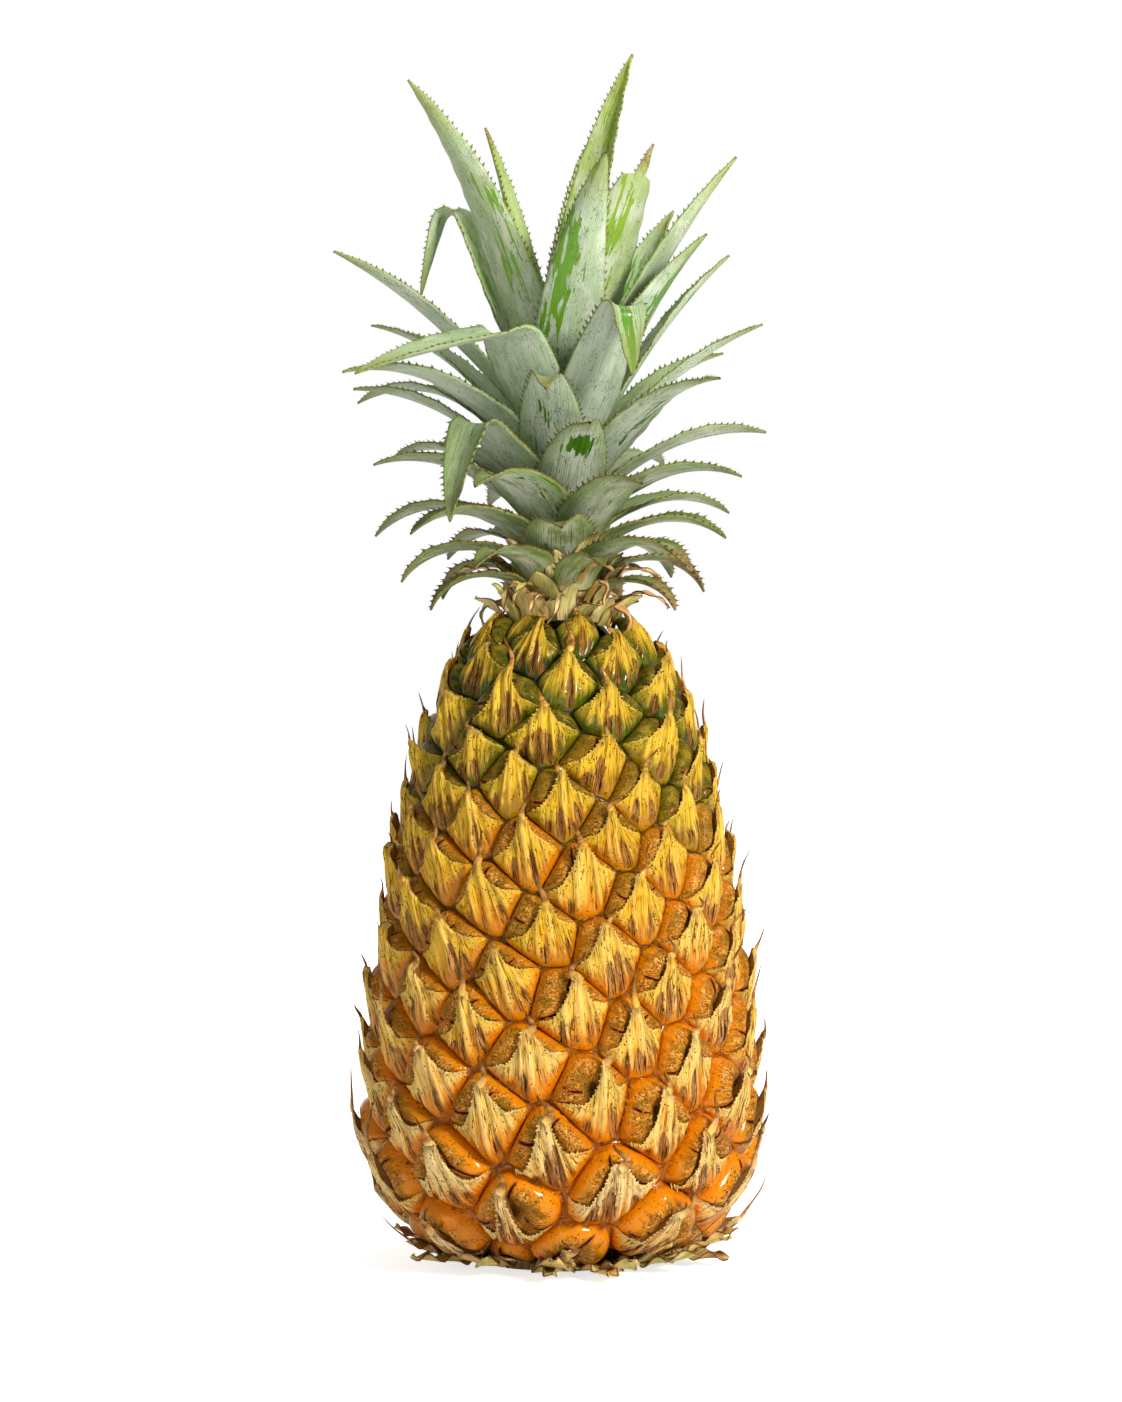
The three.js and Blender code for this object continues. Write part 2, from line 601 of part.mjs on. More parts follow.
function leafOf(index) {
  const share = index / (LEAF_COUNT - 1);
  const own = OWN_LOOK[index] || {};
  const rootHeight = LOWEST_ROOT + ROOT_RISE * share ** 1.15;
  const turnByRule = TOP_LEAF_TURN + (LEAF_COUNT - 1 - index) * GOLDEN_ANGLE;
  const vary = (spread, j) => 1 + spread * (chance(index, j) - 0.5);
  const length = own.length ?? along(LENGTHS, share) * vary(0.14, 4);
  const [at, angle, aside] = own.fold ?? [0.5, 0, 0];
  return {
    ...PLAIN_BLADE,
    index,
    length,
    rootHeight,
    turn: own.turn === undefined ? turnByRule : degrees(own.turn),
    rootRadius: stemRadius(rootHeight) + LEAF_THICKNESS / 2 + LEAF_GAP,
    halfWidth: own.halfWidth ?? along(HALF_WIDTHS, share) * vary(0.12, 5),
    lean: degrees(own.lean ?? along(LEANS, share) * vary(0.1, 6)),
    bend: degrees(own.bend ?? along(BENDS, share) * vary(0.2, 7)),
    swing: own.swing ?? 0.16 * (chance(index, 8) - 0.5),
    roll: degrees(24 * (chance(index, 9) - 0.5)),
    rootLean: SHEATH_LEAN,
    spiny: true,
    stations: length > LONG_LEAF ? 7 : 5,
    fold: { at, angle: degrees(angle), aside: degrees(aside) },
  };
}

// Places the leaves from the innermost out. Each is bent out until it is clear of those inside it.
function crownLeaves(fixed) {
  const placed = [];
  for (let index = LEAF_COUNT - 1; index >= 0; index--) {
    const leaf = leafOf(index);
    const inside = [...fixed, ...placed.map((p) => p.solid)];
    const touches = () => {
      const padded = leafSolid(leaf, LEAF_THICKNESS + LEAF_GAP);
      return inside.some((solid) => !padded.intersect(solid).isEmpty());
    };
    for (let i = 0; i < MOST_OPENINGS && touches(); i++) leaf.opening += OPENING_STEP;
    placed.push({ leaf, solid: leafSolid(leaf) });
  }
  return placed;
}

function crownStem() {
  const top = LOWEST_ROOT + ROOT_RISE;
  const outlinePoints = [new THREE.Vector2(0, STEM_FOOT)];
  for (const [share, radius] of STEM_OUTLINE)
    outlinePoints.push(new THREE.Vector2(radius, mix(STEM_FOOT, top, share)));
  outlinePoints.push(new THREE.Vector2(0, top + 5));
  const g = new THREE.LatheGeometry(outlinePoints, 16);
  g.rotateX(Math.PI / 2);
  return solidOf(g);
}

// Dry bracts spread under the fruit and stand round its neck; they have grown together with it.
const BASE_BRACTS = 7;
const NECK_BRACTS = 10;
const BRACT_THICKNESS = 1;
const BRACT_COLUMNS = [-1, 1];

function baseBract(i) {
  return {
    ...PLAIN_BLADE,
    turn: ((i + 0.6 * chance(i, 10)) / BASE_BRACTS) * 2 * Math.PI,
    rootRadius: STALK_RADIUS - 2,
    rootHeight: 3.6,
    length: 27 + 9 * chance(i, 11),
    halfWidth: 8 + 2 * chance(i, 12),
    lean: degrees(90),
    bend: degrees(-8 - 14 * chance(i, 13)),
    swing: 0.3 * (chance(i, 14) - 0.5),
  };
}

function neckBract(i) {
  return {
    ...PLAIN_BLADE,
    turn: i * GOLDEN_ANGLE,
    rootRadius: NECK_RADIUS + 0.9,
    rootHeight: SHOULDER_HEIGHT - 2,
    length: 11 + 3 * chance(i, 15),
    halfWidth: 6.4,
    lean: degrees(14 + 16 * chance(i, 16)),
    bend: degrees(40 + 50 * chance(i, 17)),
    swing: 0.3 * (chance(i, 18) - 0.5),
  };
}

function withBracts(body) {
  let whole = body;
  const add = (bract) => (whole = whole.add(leafSolid(bract, BRACT_THICKNESS, BRACT_COLUMNS)));
  for (let i = 0; i < BASE_BRACTS; i++) add(baseBract(i));
  for (let i = 0; i < NECK_BRACTS; i++) add(neckBract(i));
  // The outer surface alone, so that the little hollows under the bracts are filled.
  return whole.decompose().sort((a, b) => b.volume() - a.volume())[0];
}

const RIND = new THREE.MeshStandardMaterial({ color: 0xd98e1f, roughness: 0.5, metalness: 0 });
const GREEN = new THREE.MeshStandardMaterial({ color: 0x8fa382, roughness: 0.55, metalness: 0 });
const PALE = new THREE.MeshStandardMaterial({ color: 0xc9c08a, roughness: 0.7, metalness: 0 });

const pineapple = new THREE.Group();
function addPiece(name, solid, material) {
  const mesh = new THREE.Mesh(geometryOf(solid), material);
  mesh.name = name;
  pineapple.add(mesh);
}

const fruit = withBracts(fruitBody().add(stalk()));
const stem = crownStem();
addPiece("fruit", fruit, RIND);
addPiece("crown_stem", stem, PALE);
for (const { leaf, solid } of crownLeaves([fruit, stem]))
  addPiece("leaf_" + String(leaf.index + 1).padStart(2, "0"), solid, GREEN);

export default pineapple;
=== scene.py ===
import math

import bmesh
import bpy
import numpy as np
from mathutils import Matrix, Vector


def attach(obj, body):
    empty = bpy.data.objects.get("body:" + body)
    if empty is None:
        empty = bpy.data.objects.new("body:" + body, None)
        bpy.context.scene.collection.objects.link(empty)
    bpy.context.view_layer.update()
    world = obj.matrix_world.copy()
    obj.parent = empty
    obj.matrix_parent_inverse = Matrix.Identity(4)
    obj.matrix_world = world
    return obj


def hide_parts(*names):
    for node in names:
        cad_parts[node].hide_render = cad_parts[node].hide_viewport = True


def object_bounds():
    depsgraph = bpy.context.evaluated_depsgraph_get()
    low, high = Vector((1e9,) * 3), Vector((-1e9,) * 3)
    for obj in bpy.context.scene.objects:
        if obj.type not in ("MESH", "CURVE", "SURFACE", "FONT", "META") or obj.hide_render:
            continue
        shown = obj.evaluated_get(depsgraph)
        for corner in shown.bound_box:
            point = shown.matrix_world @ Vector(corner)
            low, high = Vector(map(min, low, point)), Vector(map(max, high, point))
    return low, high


# A whole fresh pineapple: the fruit's rind with its eyes and bracts, and the crown of spiny leaves.
# Lengths below are in millimetres in the CAD's frame. MM turns them into metres as a mesh is made.
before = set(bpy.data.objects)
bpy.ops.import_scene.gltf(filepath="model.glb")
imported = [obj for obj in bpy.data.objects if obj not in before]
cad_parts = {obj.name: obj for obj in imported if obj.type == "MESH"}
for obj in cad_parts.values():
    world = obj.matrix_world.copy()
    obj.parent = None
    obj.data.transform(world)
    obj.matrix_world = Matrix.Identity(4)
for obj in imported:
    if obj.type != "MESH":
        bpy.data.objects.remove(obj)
cad_low, cad_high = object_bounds()

MM = 0.001
BOX_MARGIN = np.array([0.0001, 0.0001, 0])
BOX_LOW = np.array(cad_low) + BOX_MARGIN
BOX_HIGH = np.array(cad_high) - BOX_MARGIN
GOLDEN_ANGLE = math.radians(137.508)

# The fruit, as in the CAD.
FRUIT_RADIUS = 55
WIDEST_HEIGHT = 50
SHOULDER_HEIGHT = 197
NECK_RADIUS = 13.4
STALK_RADIUS = 24
EYE_COUNT = 168
EYE_AREA_TOP = 260
EYE_AREA_GAIN = 340
FIRST_EYE_TURN = math.radians(20)
EDGE_STEP = 0.3
USUAL_EYE = 10
CORNER_SHIFT = 3.1
FARTHEST_REACH = 64.2
LOWEST_SKIN = 0.4  # nothing of an eye is nearer the ground

# The crown, as in the CAD.
LEAF_COUNT = 54
TOP_LEAF_TURN = math.radians(30)
STEM_FOOT = 198.4
LOWEST_ROOT = 201.8
ROOT_RISE = 60
LEAF_THICKNESS = 0.8
LEAF_GAP = 0.3
SHEATH_LENGTH = 9
SHEATH_LEAN = math.radians(27)
ROOT_WRAP = 0.72
OPENING_STEP = math.radians(2)
MOST_OPENINGS = 16
LINE_STEPS = 120
CREASE = 0.05

# The dry bracts under the fruit and round its neck.
BASE_BRACTS = 13
LOW_BRACTS = 14
NECK_BRACTS = 22
SHEATHS = 13
CURLS = 18
BRACT_THICKNESS = 0.6

# An eye's heights, at the usual size, and the powers that shape its bract's free edge.
PILLOW_HEIGHT = 2.45
DOME_MIDDLE_HEIGHT = 2.3
DOME_RIM_HEIGHT = 4.1
PEAK_HEIGHTS = (1.4, 2.5)
NECK_LIFTS = (0.8, 2.6)
HOLLOW_POWERS = (1.6, 2.9)
FLARE_POWERS = (1.05, 1.8)

# Eyes whose numbers differ by these touch: they lie on the three sets of spirals.
SPIRALS = (8, 13, 21)

# The studio, in metres. A light: its name, place, size and power in watts.
CAMERA_DISTANCE = 1.25
CAMERA_HEIGHT = 0.20
AIM_HEIGHT = 0.171
LIGHTS_AIM_HEIGHT = 0.18
VIEW_HEIGHT = 0.4276  # what the photograph's full height spans at the fruit's axis
LONG_SIDE = 36  # mm, the sensor's long side
LIGHTS = [
    ("key", (0.8, -0.9, 0.75), 0.28, 22),
    ("fill", (-0.9, -1.2, 0.2), 1.0, 5.5),
    ("top", (0.2, 0.1, 1.4), 0.8, 8),
    ("back", (-0.5, 1.6, 0.5), 1.4, 9),
]
LIGHT_COLOUR = (1, 0.95, 0.87)

# How fine the pieces are, in steps and in millimetres.
EYE_COLUMNS = 42
BRACT_ROWS = 16
DOME_ROWS = 13
LEAF_STEP = 1.15  # between stations along a leaf
LEAF_COLUMNS = 18
SPINE_STEP = 2.3
EDGE_WAVE = 0.16  # how far a leaf's edges wave
JOIN_DISTANCE = 0.004


def chance(k, j):
    """A repeatable number from 0 to 1 for item k, different for each purpose j."""
    x = math.sin((k + 1) * 12.9898 + (j + 1) * 78.233) * 43758.5453
    return x - math.floor(x)


def mix(a, b, t):
    return a + (b - a) * t


def clamp(x, low, high):
    return min(max(x, low), high)


def smooth(low, high, x):
    t = np.clip((x - low) / (high - low), 0, 1)
    return t * t * (3 - 2 * t)


def along(pairs, at):
    """Linear interpolation in a short list of (at, value) pairs."""
    return float(np.interp(at, [p[0] for p in pairs], [p[1] for p in pairs]))


class Surface:
    """Gathers grids of points into one mesh, with the values that its material reads at each point."""

    def __init__(self):
        self.points = []
        self.faces = []
        self.values = {}
        self.count = 0

    def grid(self, points, closed=False, flip=False, **values):
        rows, columns = points.shape[:2]
        ids = self.count + np.arange(rows * columns).reshape(rows, columns)
        if closed:
            ids = np.hstack([ids, ids[:, :1]])
        corners = [ids[:-1, :-1], ids[:-1, 1:], ids[1:, 1:], ids[1:, :-1]]
        if flip:
            corners.reverse()
        self.faces.append(np.stack(corners, -1).reshape(-1, 4))
        self.points.append(points.reshape(-1, 3))
        for name, value in values.items():
            full = np.broadcast_to(np.asarray(value, float), (rows, columns, 3))
            self.values.setdefault(name, []).append(full.reshape(-1, 3))
        self.count += rows * columns

    def piece(self, name, material, nodes=()):
        """Makes the mesh and hands it to the frame as a piece of the object."""
        points = np.clip(np.concatenate(self.points) * MM, BOX_LOW, BOX_HIGH)
        faces = np.concatenate(self.faces)
        mesh = bpy.data.meshes.new(name)
        mesh.vertices.add(len(points))
        mesh.vertices.foreach_set("co", points.astype(np.float32).ravel())
        mesh.loops.add(faces.size)
        mesh.loops.foreach_set("vertex_index", faces.astype(np.int32).ravel())
        mesh.polygons.add(len(faces))
        mesh.polygons.foreach_set("loop_start", np.arange(0, faces.size, 4, dtype=np.int32))
        mesh.update(calc_edges=True)
        for key, parts in self.values.items():
            attribute = mesh.attributes.new(key, "FLOAT_VECTOR", "POINT")
            attribute.data.foreach_set("vector", np.concatenate(parts).astype(np.float32).ravel())
        tidy_mesh(mesh)
        mesh.materials.append(material)
        thing = bpy.data.objects.new(name, mesh)
        bpy.context.scene.collection.objects.link(thing)
        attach(thing, "root")
        if nodes:
            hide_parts(*nodes)


def tidy_mesh(mesh):
    """Joins points that meet, which also drops faces with no area, and shades the mesh smooth."""
    work = bmesh.new()
    work.from_mesh(mesh)
    bmesh.ops.remove_doubles(work, verts=work.verts, dist=JOIN_DISTANCE * MM)
    work.to_mesh(mesh)
    work.free()
    mesh.polygons.foreach_set("use_smooth", np.ones(len(mesh.polygons), bool))


# The fruit's outline and its eyes.
def outline_of_fruit():
    """Radius, height, length and number of eyes along the outline, from the stalk to the neck."""
    def curve(a, b, c, d):
        t = np.linspace(0, 1, 401)[:, None]
        a, b, c, d = (np.array(p, float) for p in (a, b, c, d))
        return a * (1 - t) ** 3 + 3 * b * t * (1 - t) ** 2 + 3 * c * t * t * (1 - t) + d * t**3

    widest = (FRUIT_RADIUS, WIDEST_HEIGHT)
    base = curve((22, 5), (38.4, 4), (FRUIT_RADIUS, 20), widest)
    flank = curve(widest, (FRUIT_RADIUS, 91), (42.4, SHOULDER_HEIGHT - 9), (NECK_RADIUS, SHOULDER_HEIGHT))
    path = np.vstack([base, flank[1:]])
    steps = np.hypot(*np.diff(path, axis=0).T)
    height_share = np.clip(1 - path[1:, 1] / SHOULDER_HEIGHT, 0, 1)
    area = EYE_AREA_TOP + EYE_AREA_GAIN * height_share**1.6
    length = np.concatenate([[0], np.cumsum(steps)])
    count = np.concatenate([[0], np.cumsum(2 * math.pi * path[1:, 0] * steps / area)])
    return path, length, count


OUTLINE, OUTLINE_S, OUTLINE_COUNT = outline_of_fruit()
END_S = OUTLINE_S[-1]
OVERHANG = 30  # the outline goes on straight past both ends


def long_outline():
    first = (OUTLINE[1] - OUTLINE[0]) / (OUTLINE_S[1] - OUTLINE_S[0])
    last = (OUTLINE[-1] - OUTLINE[-2]) / (OUTLINE_S[-1] - OUTLINE_S[-2])
    path = np.vstack([OUTLINE[0] - first * OVERHANG, OUTLINE, OUTLINE[-1] + last * OVERHANG])
    s = np.concatenate([[-OVERHANG], OUTLINE_S, [END_S + OVERHANG]])
    slope = np.gradient(path, s, axis=0)
    return path, s, slope / np.linalg.norm(slope, axis=1)[:, None]


LONG_PATH, LONG_S, LONG_SLOPE = long_outline()


def radius_at(s):
    return np.interp(s, LONG_S, LONG_PATH[:, 0])


def on_fruit(turn, s, height):
    """Places on the fruit: turn round the axis, s along the outline, height out of the surface."""
    out = np.interp(s, LONG_S, LONG_SLOPE[:, 1])
    down = np.interp(s, LONG_S, LONG_SLOPE[:, 0])
    r = radius_at(s) + out * height
    z = np.interp(s, LONG_S, LONG_PATH[:, 1]) - down * height
    return np.stack([r * np.cos(turn), r * np.sin(turn), np.maximum(z, LOWEST_SKIN)], -1)


def eye_place(k):
    turn = FIRST_EYE_TURN - k * GOLDEN_ANGLE
    if k < 0:
        return turn, k * EDGE_STEP
    if k > EYE_COUNT - 1:
        return turn, END_S + (k - EYE_COUNT + 1) * EDGE_STEP
    share = (k + 0.5) / EYE_COUNT * OUTLINE_COUNT[-1]
    return turn, float(np.interp(share, OUTLINE_COUNT, OUTLINE_S))


def turn_between(a, b):
    return math.atan2(math.sin(b - a), math.cos(b - a))


def corners_of_eyes():
    """The corners where three eyes meet, each with the eyes round it."""
    def far(a, b):
        (ta, sa), (tb, sb) = eye_place(a), eye_place(b)
        return math.hypot(turn_between(ta, tb) * radius_at((sa + sb) / 2), sa - sb)

    corners = []
    for k in range(-2 * SPIRALS[2], EYE_COUNT + SPIRALS[2]):
        b, c, d = (k + step for step in SPIRALS)
        if far(k, d) < far(b, c):
            halves = [(k, b, d), (k, c, d)]
        else:
            halves = [(k, b, c), (b, c, d)]
        for eyes in halves:
            outside = [e < 0 or e >= EYE_COUNT for e in eyes]
            if all(outside):
                continue
            (ta, sa), (tb, sb), (tc, sc) = map(eye_place, eyes)
            r = radius_at((sa + sb + sc) / 3)
            bx, by = turn_between(ta, tb) * r, sb - sa
            cx, cy = turn_between(ta, tc) * r, sc - sa
            area = 2 * (bx * cy - by * cx)
            round_share = 0 if any(outside) else 0.7
            ux = (cy * (bx * bx + by * by) - by * (cx * cx + cy * cy)) / area
            uy = (bx * (cx * cx + cy * cy) - cx * (bx * bx + by * by)) / area
            uneven = CORNER_SHIFT * smooth(8, 20, sa) * smooth(6, 20, END_S - sa)
            x = mix((bx + cx) / 3, ux, round_share) + uneven * (chance(sum(eyes), 64) - 0.5)
            y = mix((by + cy) / 3, uy, round_share) + uneven * (chance(sum(eyes), 65) - 0.5)
            corners.append({"eyes": eyes, "turn": ta + x / r, "s": sa + y})
    return corners


class Eye:
    """One eye's cell: its corners in order, in millimetres across and along the surface."""

    def __init__(self, k, corners):
        self.k = k
        self.turn, self.s = eye_place(k)
        self.r = float(radius_at(self.s))
        own = [c for c in corners if k in c["eyes"]]
        ring = np.array([(turn_between(self.turn, c["turn"]) * self.r, c["s"] - self.s) for c in own])
        self.middle = ring.mean(0)
        angle = np.arctan2(*(ring - self.middle).T[::-1])
        self.ring = (ring - self.middle)[np.argsort(angle)]
        self.wide = np.ptp(self.ring[:, 0]) / 2
        self.size = self.wide / USUAL_EYE
        self.low = clamp(1 - self.s / END_S, 0, 1)
        self.freedom = float(smooth(4, 16, self.s) * smooth(2, 10, END_S - self.s))
        self.sharp = mix(9, 4.2, self.low**2)
        self.up = self.reach(math.pi / 2)
        self.down = self.reach(-math.pi / 2)

    def reach(self, angle):
        """How far the cell's edge is from its middle in a direction."""
        return 1 / float(self.gauge(np.array([math.cos(angle), math.sin(angle)]), sharp=60))

    def gauge(self, points, centre=(0, 0), sharp=None):
        """From 0 at a centre to 1 at the cell's edge, with round corners."""
        sharp = sharp or self.sharp
        centre = np.array(centre, float)
        a = self.ring - centre
        edge = np.roll(a, -1, 0) - a
        normal = np.stack([edge[:, 1], -edge[:, 0]], -1)
        shares = (points - centre) @ normal.T / (a * normal).sum(1)
        return (np.maximum(shares, 0) ** sharp).sum(-1) ** (1 / sharp)

    def paths(self, columns):
        """The cell's edge below and above, both from its left corner to its right one."""
        left, right = np.argmin(self.ring[:, 0]), np.argmax(self.ring[:, 0])
        n = len(self.ring)
        below = [self.ring[(left + i) % n] for i in range((right - left) % n + 1)]
        above = [self.ring[(left - i) % n] for i in range((left - right) % n + 1)]
        return spread(np.array(below), columns), spread(np.array(above), columns)

    def normal(self):
        """The way out of the fruit at the eye."""
        return on_fruit(self.turn, self.s, 1.0) - on_fruit(self.turn, self.s, 0.0)

    def place(self, points, height):
        """Places for points of the cell. Heights near the farthest reach are eased under it."""
        x, y = points[..., 0] + self.middle[0], points[..., 1] + self.middle[1]
        most = FARTHEST_REACH - radius_at(self.s + y)
        plain = 0.65 * most
        over = np.maximum(height - plain, 0)
        eased = np.minimum(height, plain) + (most - plain) * (1 - np.exp(-over / (most - plain)))
        return on_fruit(self.turn + x / self.r, self.s + y, eased)


def spread(path, columns):
    """A path of straight lines cut into a number of steps, with each of its corners kept."""
    lengths = np.hypot(*np.diff(path, axis=0).T)
    ends = np.round(np.cumsum(lengths) / lengths.sum() * columns).astype(int)
    starts = np.concatenate([[0], ends])
    at = np.interp(np.arange(columns + 1), starts, np.arange(len(path)))
    return np.stack([np.interp(at, np.arange(len(path)), path[:, i]) for i in (0, 1)], -1)


# Ridges of a bract: place across from -1 to 1, height in mm, half width.
RIDGES = [(0, 1.0, 0.065), (-0.24, 0.8, 0.06), (0.24, 0.8, 0.06), (-0.52, 0.5, 0.08), (0.52, 0.5, 0.08)]
HOLLOWS = [-0.12, 0.12, -0.38, 0.38]


def bract_relief(eye, a, t):
    """The ridges that run up a bract to its neck, and the dry hollows between their feet."""
    ridges = np.zeros(np.broadcast(a, t).shape)
    hollows = np.zeros_like(ridges)
    for i, (at, height, half) in enumerate(RIDGES):
        at = at + 0.14 * (chance(eye.k, 20 + i) - 0.5)
        height = height * mix(0.5, 1.5, chance(eye.k, 30 + i))
        ridges += height * np.exp(-(((a - at) / half) ** 2)) * smooth(0.03, 0.3, t) * (1 - 0.4 * t**3)
    for i, at in enumerate(HOLLOWS):
        at = at + 0.06 * (chance(eye.k, 25 + i) - 0.5)
        depth = mix(0.0, 1.15, chance(eye.k, 40 + i))
        reach = mix(0.45, 0.85, chance(eye.k, 45 + i))
        across = np.exp(-(((a - at) / 0.085) ** 2))
        hollows += depth * across * smooth(0.02, 0.12, t) * (1 - smooth(reach - 0.3, reach, t))
    return ridges, hollows


class EyeShape:
    """An eye's surface: the bract from the groove to its free edge, its inner face, and the dome."""

    def __init__(self, eye):
        self.eye = eye
        k = eye.k
        self.a = np.linspace(-1, 1, EYE_COLUMNS + 1)
        self.b = np.abs(self.a)
        self.below, self.above = eye.paths(EYE_COLUMNS)
        neck_up = mix(0.9, 0.55, eye.low**3) + 0.14 * (chance(k, 51) - 0.5)
        self.neck = np.array([
            0.36 * eye.wide * (chance(k, 50) - 0.5),
            eye.up * neck_up * mix(0.72, 1, eye.freedom),
        ])
        self.flower = np.array([0.06 * eye.wide * (chance(k, 52) - 0.5), 0.14 * eye.up])
        self.scale = eye.size * mix(0.62, 1, eye.freedom) * mix(0.94, 1.08, chance(k, 53))
        self.margin = self.margin_line()

    def margin_line(self):
        """The bract's free edge: up from a side corner in a hollow curve that ends in its narrow neck."""
        eye, b, k = self.eye, self.b, self.eye.k
        neck_half = eye.wide * mix(0.07, 0.115, chance(k, 54))
        flat = 0.08
        past = np.clip((b - flat) / (1 - flat), 0, 1) ** 0.9
        line = np.empty((len(b), 2))
        for side, corner in ((-1, self.below[0]), (1, self.below[-1])):
            here = self.a * side >= 0
            hollow = mix(*HOLLOW_POWERS, chance(k, 156 + side)) + 0.5 * eye.low**3
            flare = mix(*FLARE_POWERS, chance(k, 159 + side)) + 0.4 * eye.low**3
            x0 = self.neck[0] + side * neck_half * np.clip(b / flat, 0, 1)
            x = x0 + (corner[0] - x0) * past**flare
            y = self.neck[1] + (corner[1] - self.neck[1]) * (1 - (1 - past) ** hollow)
            y = y - 0.5 * eye.low**3 * eye.down * np.sin(math.pi * past) ** 2
            ragged = np.sin(past * 23 + 9 * chance(k, 162)) * np.sin(past * 41 + 9 * chance(k, 163 + side))
            y = y + 0.35 * eye.size * ragged * np.sin(math.pi * past)
            line[here] = np.stack([x, y], -1)[here]
        return line

    def pillow(self, points):
        rho = np.clip(self.eye.gauge(points), 0, 1)
        return PILLOW_HEIGHT * self.scale * (1 - rho**5.4) ** 0.52

    def bract_height(self, points, t):
        k = self.eye.k
        near_neck = smooth(0.03, 0.16, self.eye.low)
        peak = mix(*PEAK_HEIGHTS, chance(k, 63)) * mix(0.6, 1, near_neck)
        sharp = 1.35 + 1.1 * self.eye.low**3
        lift = smooth(0.02, 1, t) * (0.35 + peak * (1 - self.b) ** sharp) * (1 - self.b**6)
        neck_lift = mix(*NECK_LIFTS, chance(k, 66)) * mix(0.3, 1, near_neck)
        lift = lift + neck_lift * smooth(0.5, 1, t) * (1 - smooth(0, 0.45, self.b))
        curl = 0.5 * smooth(0.82, 1, t) * (1 - self.b**6) * (0.3 + 0.7 * self.b)
        edge = 1 - self.b**8
        ridges, hollows = bract_relief(self.eye, self.a, t)
        relief = (ridges - hollows) * edge
        return self.pillow(points) + (lift + curl + relief) * self.scale

    def dome_height(self, points):
        eye = self.eye
        q = np.clip(eye.gauge(points, self.flower), 0, 1)
        rim_height = DOME_RIM_HEIGHT + 0.5 * eye.low**2
        rim = mix(DOME_MIDDLE_HEIGHT, rim_height, smooth(0.04, 0.55 + 0.05 * eye.low, q))
        return rim * (1 - q**4.2) ** 0.6 * self.scale

    def add_to(self, surface):
        eye = self.eye
        rows = np.linspace(0, 1, BRACT_ROWS) ** 1.25
        bract = [mix(self.below, self.margin, t) for t in rows]
        outer = [self.bract_height(p, t) for p, t in zip(bract, rows)]
        free = 1 - self.b**4
        edge_height = outer[-1]
        crease = mix(self.margin, self.below, (0.24 * (1 - self.b**2))[:, None])
        dome_at_crease = self.dome_height(crease)
        crease_height = np.minimum(dome_at_crease, edge_height - 0.35 - 1.3 * free * self.scale)
        crease_height = np.maximum(crease_height, 0)
        points = bract + [self.margin, mix(self.margin, crease, 0.5)]
        heights = outer + [
            edge_height - 0.35 * free,
            mix(edge_height - 0.5 * free, crease_height, 0.55),
        ]
        along_rows = list(rows) + [1, 1]
        region = [0] * len(rows) + [0.5, 0.5]
        for p in np.linspace(0, 1, DOME_ROWS) ** 0.8:
            at = mix(crease, self.above, p)
            points.append(at)
            heights.append(mix(crease_height, self.dome_height(at), smooth(0, 0.4, p)))
            along_rows.append(p)
            region.append(1)
        points = np.array(points)
        heights = np.array(heights)
        x, y = points[..., 0] / eye.wide, points[..., 1] / eye.up
        wobble = 0.3 * np.sin(4.1 * x + 9 * chance(eye.k, 60)) * np.sin(3.7 * y + 9 * chance(eye.k, 61))
        rho = np.clip(eye.gauge(points), 0, 1)
        heights = heights + wobble * (1 - rho**4)
        heights[0] = heights[-1] = 0
        heights[:, 0] = heights[:, -1] = 0
        shape = heights.shape
        parts = self.a, np.array(along_rows)[:, None], np.array(region)[:, None]
        fan = np.stack(np.broadcast_arrays(*parts), -1)
        from_flower = points - self.flower
        q = np.clip(eye.gauge(points, self.flower), 0, 1)
        spot = np.stack([from_flower[..., 0] / eye.wide, from_flower[..., 1] / eye.wide, q], -1)
        look = np.stack([rho, np.full(shape, eye.low), np.full(shape, chance(eye.k, 62))], -1)
        form = np.zeros(shape + (3,))
        for i, t in enumerate(rows):
            form[i, :, 0], form[i, :, 1] = bract_relief(eye, self.a, t)
        surface.grid(eye.place(points, heights), eye_fan=fan, eye_spot=spot, eye_look=look, eye_form=form)

    def edge_place(self, a, rise=0.0):
        """A place on the bract's free edge, or above it by a rise."""
        at = np.array([np.interp(a, self.a, self.margin[:, i]) for i in (0, 1)])
        height = np.interp(a, self.a, self.bract_height(self.margin, 1.0))
        return self.eye.place(at, height + rise)


def taper(surface, spine, widths, normal, flat=0.5, sides=6, **values):
    """A closed tapering strip round a middle line, wider than it is thick."""
    tangent = np.gradient(spine, axis=0)
    tangent /= np.linalg.norm(tangent, axis=1)[:, None]
    across = np.cross(tangent, normal)
    across /= np.linalg.norm(across, axis=1)[:, None]
    above = np.cross(across, tangent)
    angle = np.arange(sides) / sides * 2 * math.pi
    rings = (
        spine[:, None]
        + across[:, None] * (widths[:, None] * np.cos(angle))[..., None]
        + above[:, None] * (widths[:, None] * flat * np.sin(angle))[..., None]
    )
    surface.grid(rings, closed=True, flip=True, **values)


def point_values(eye, across, along_bract):
    """What the rind's material reads on an awn or a tooth."""
    spread_out = np.broadcast_arrays(across, along_bract, 2.0)
    return dict(
        eye_fan=np.stack(spread_out, -1)[:, None],
        eye_spot=(0, 0.5, 0.5),
        eye_look=(0.3, eye.low, chance(eye.k, 62)),
    )


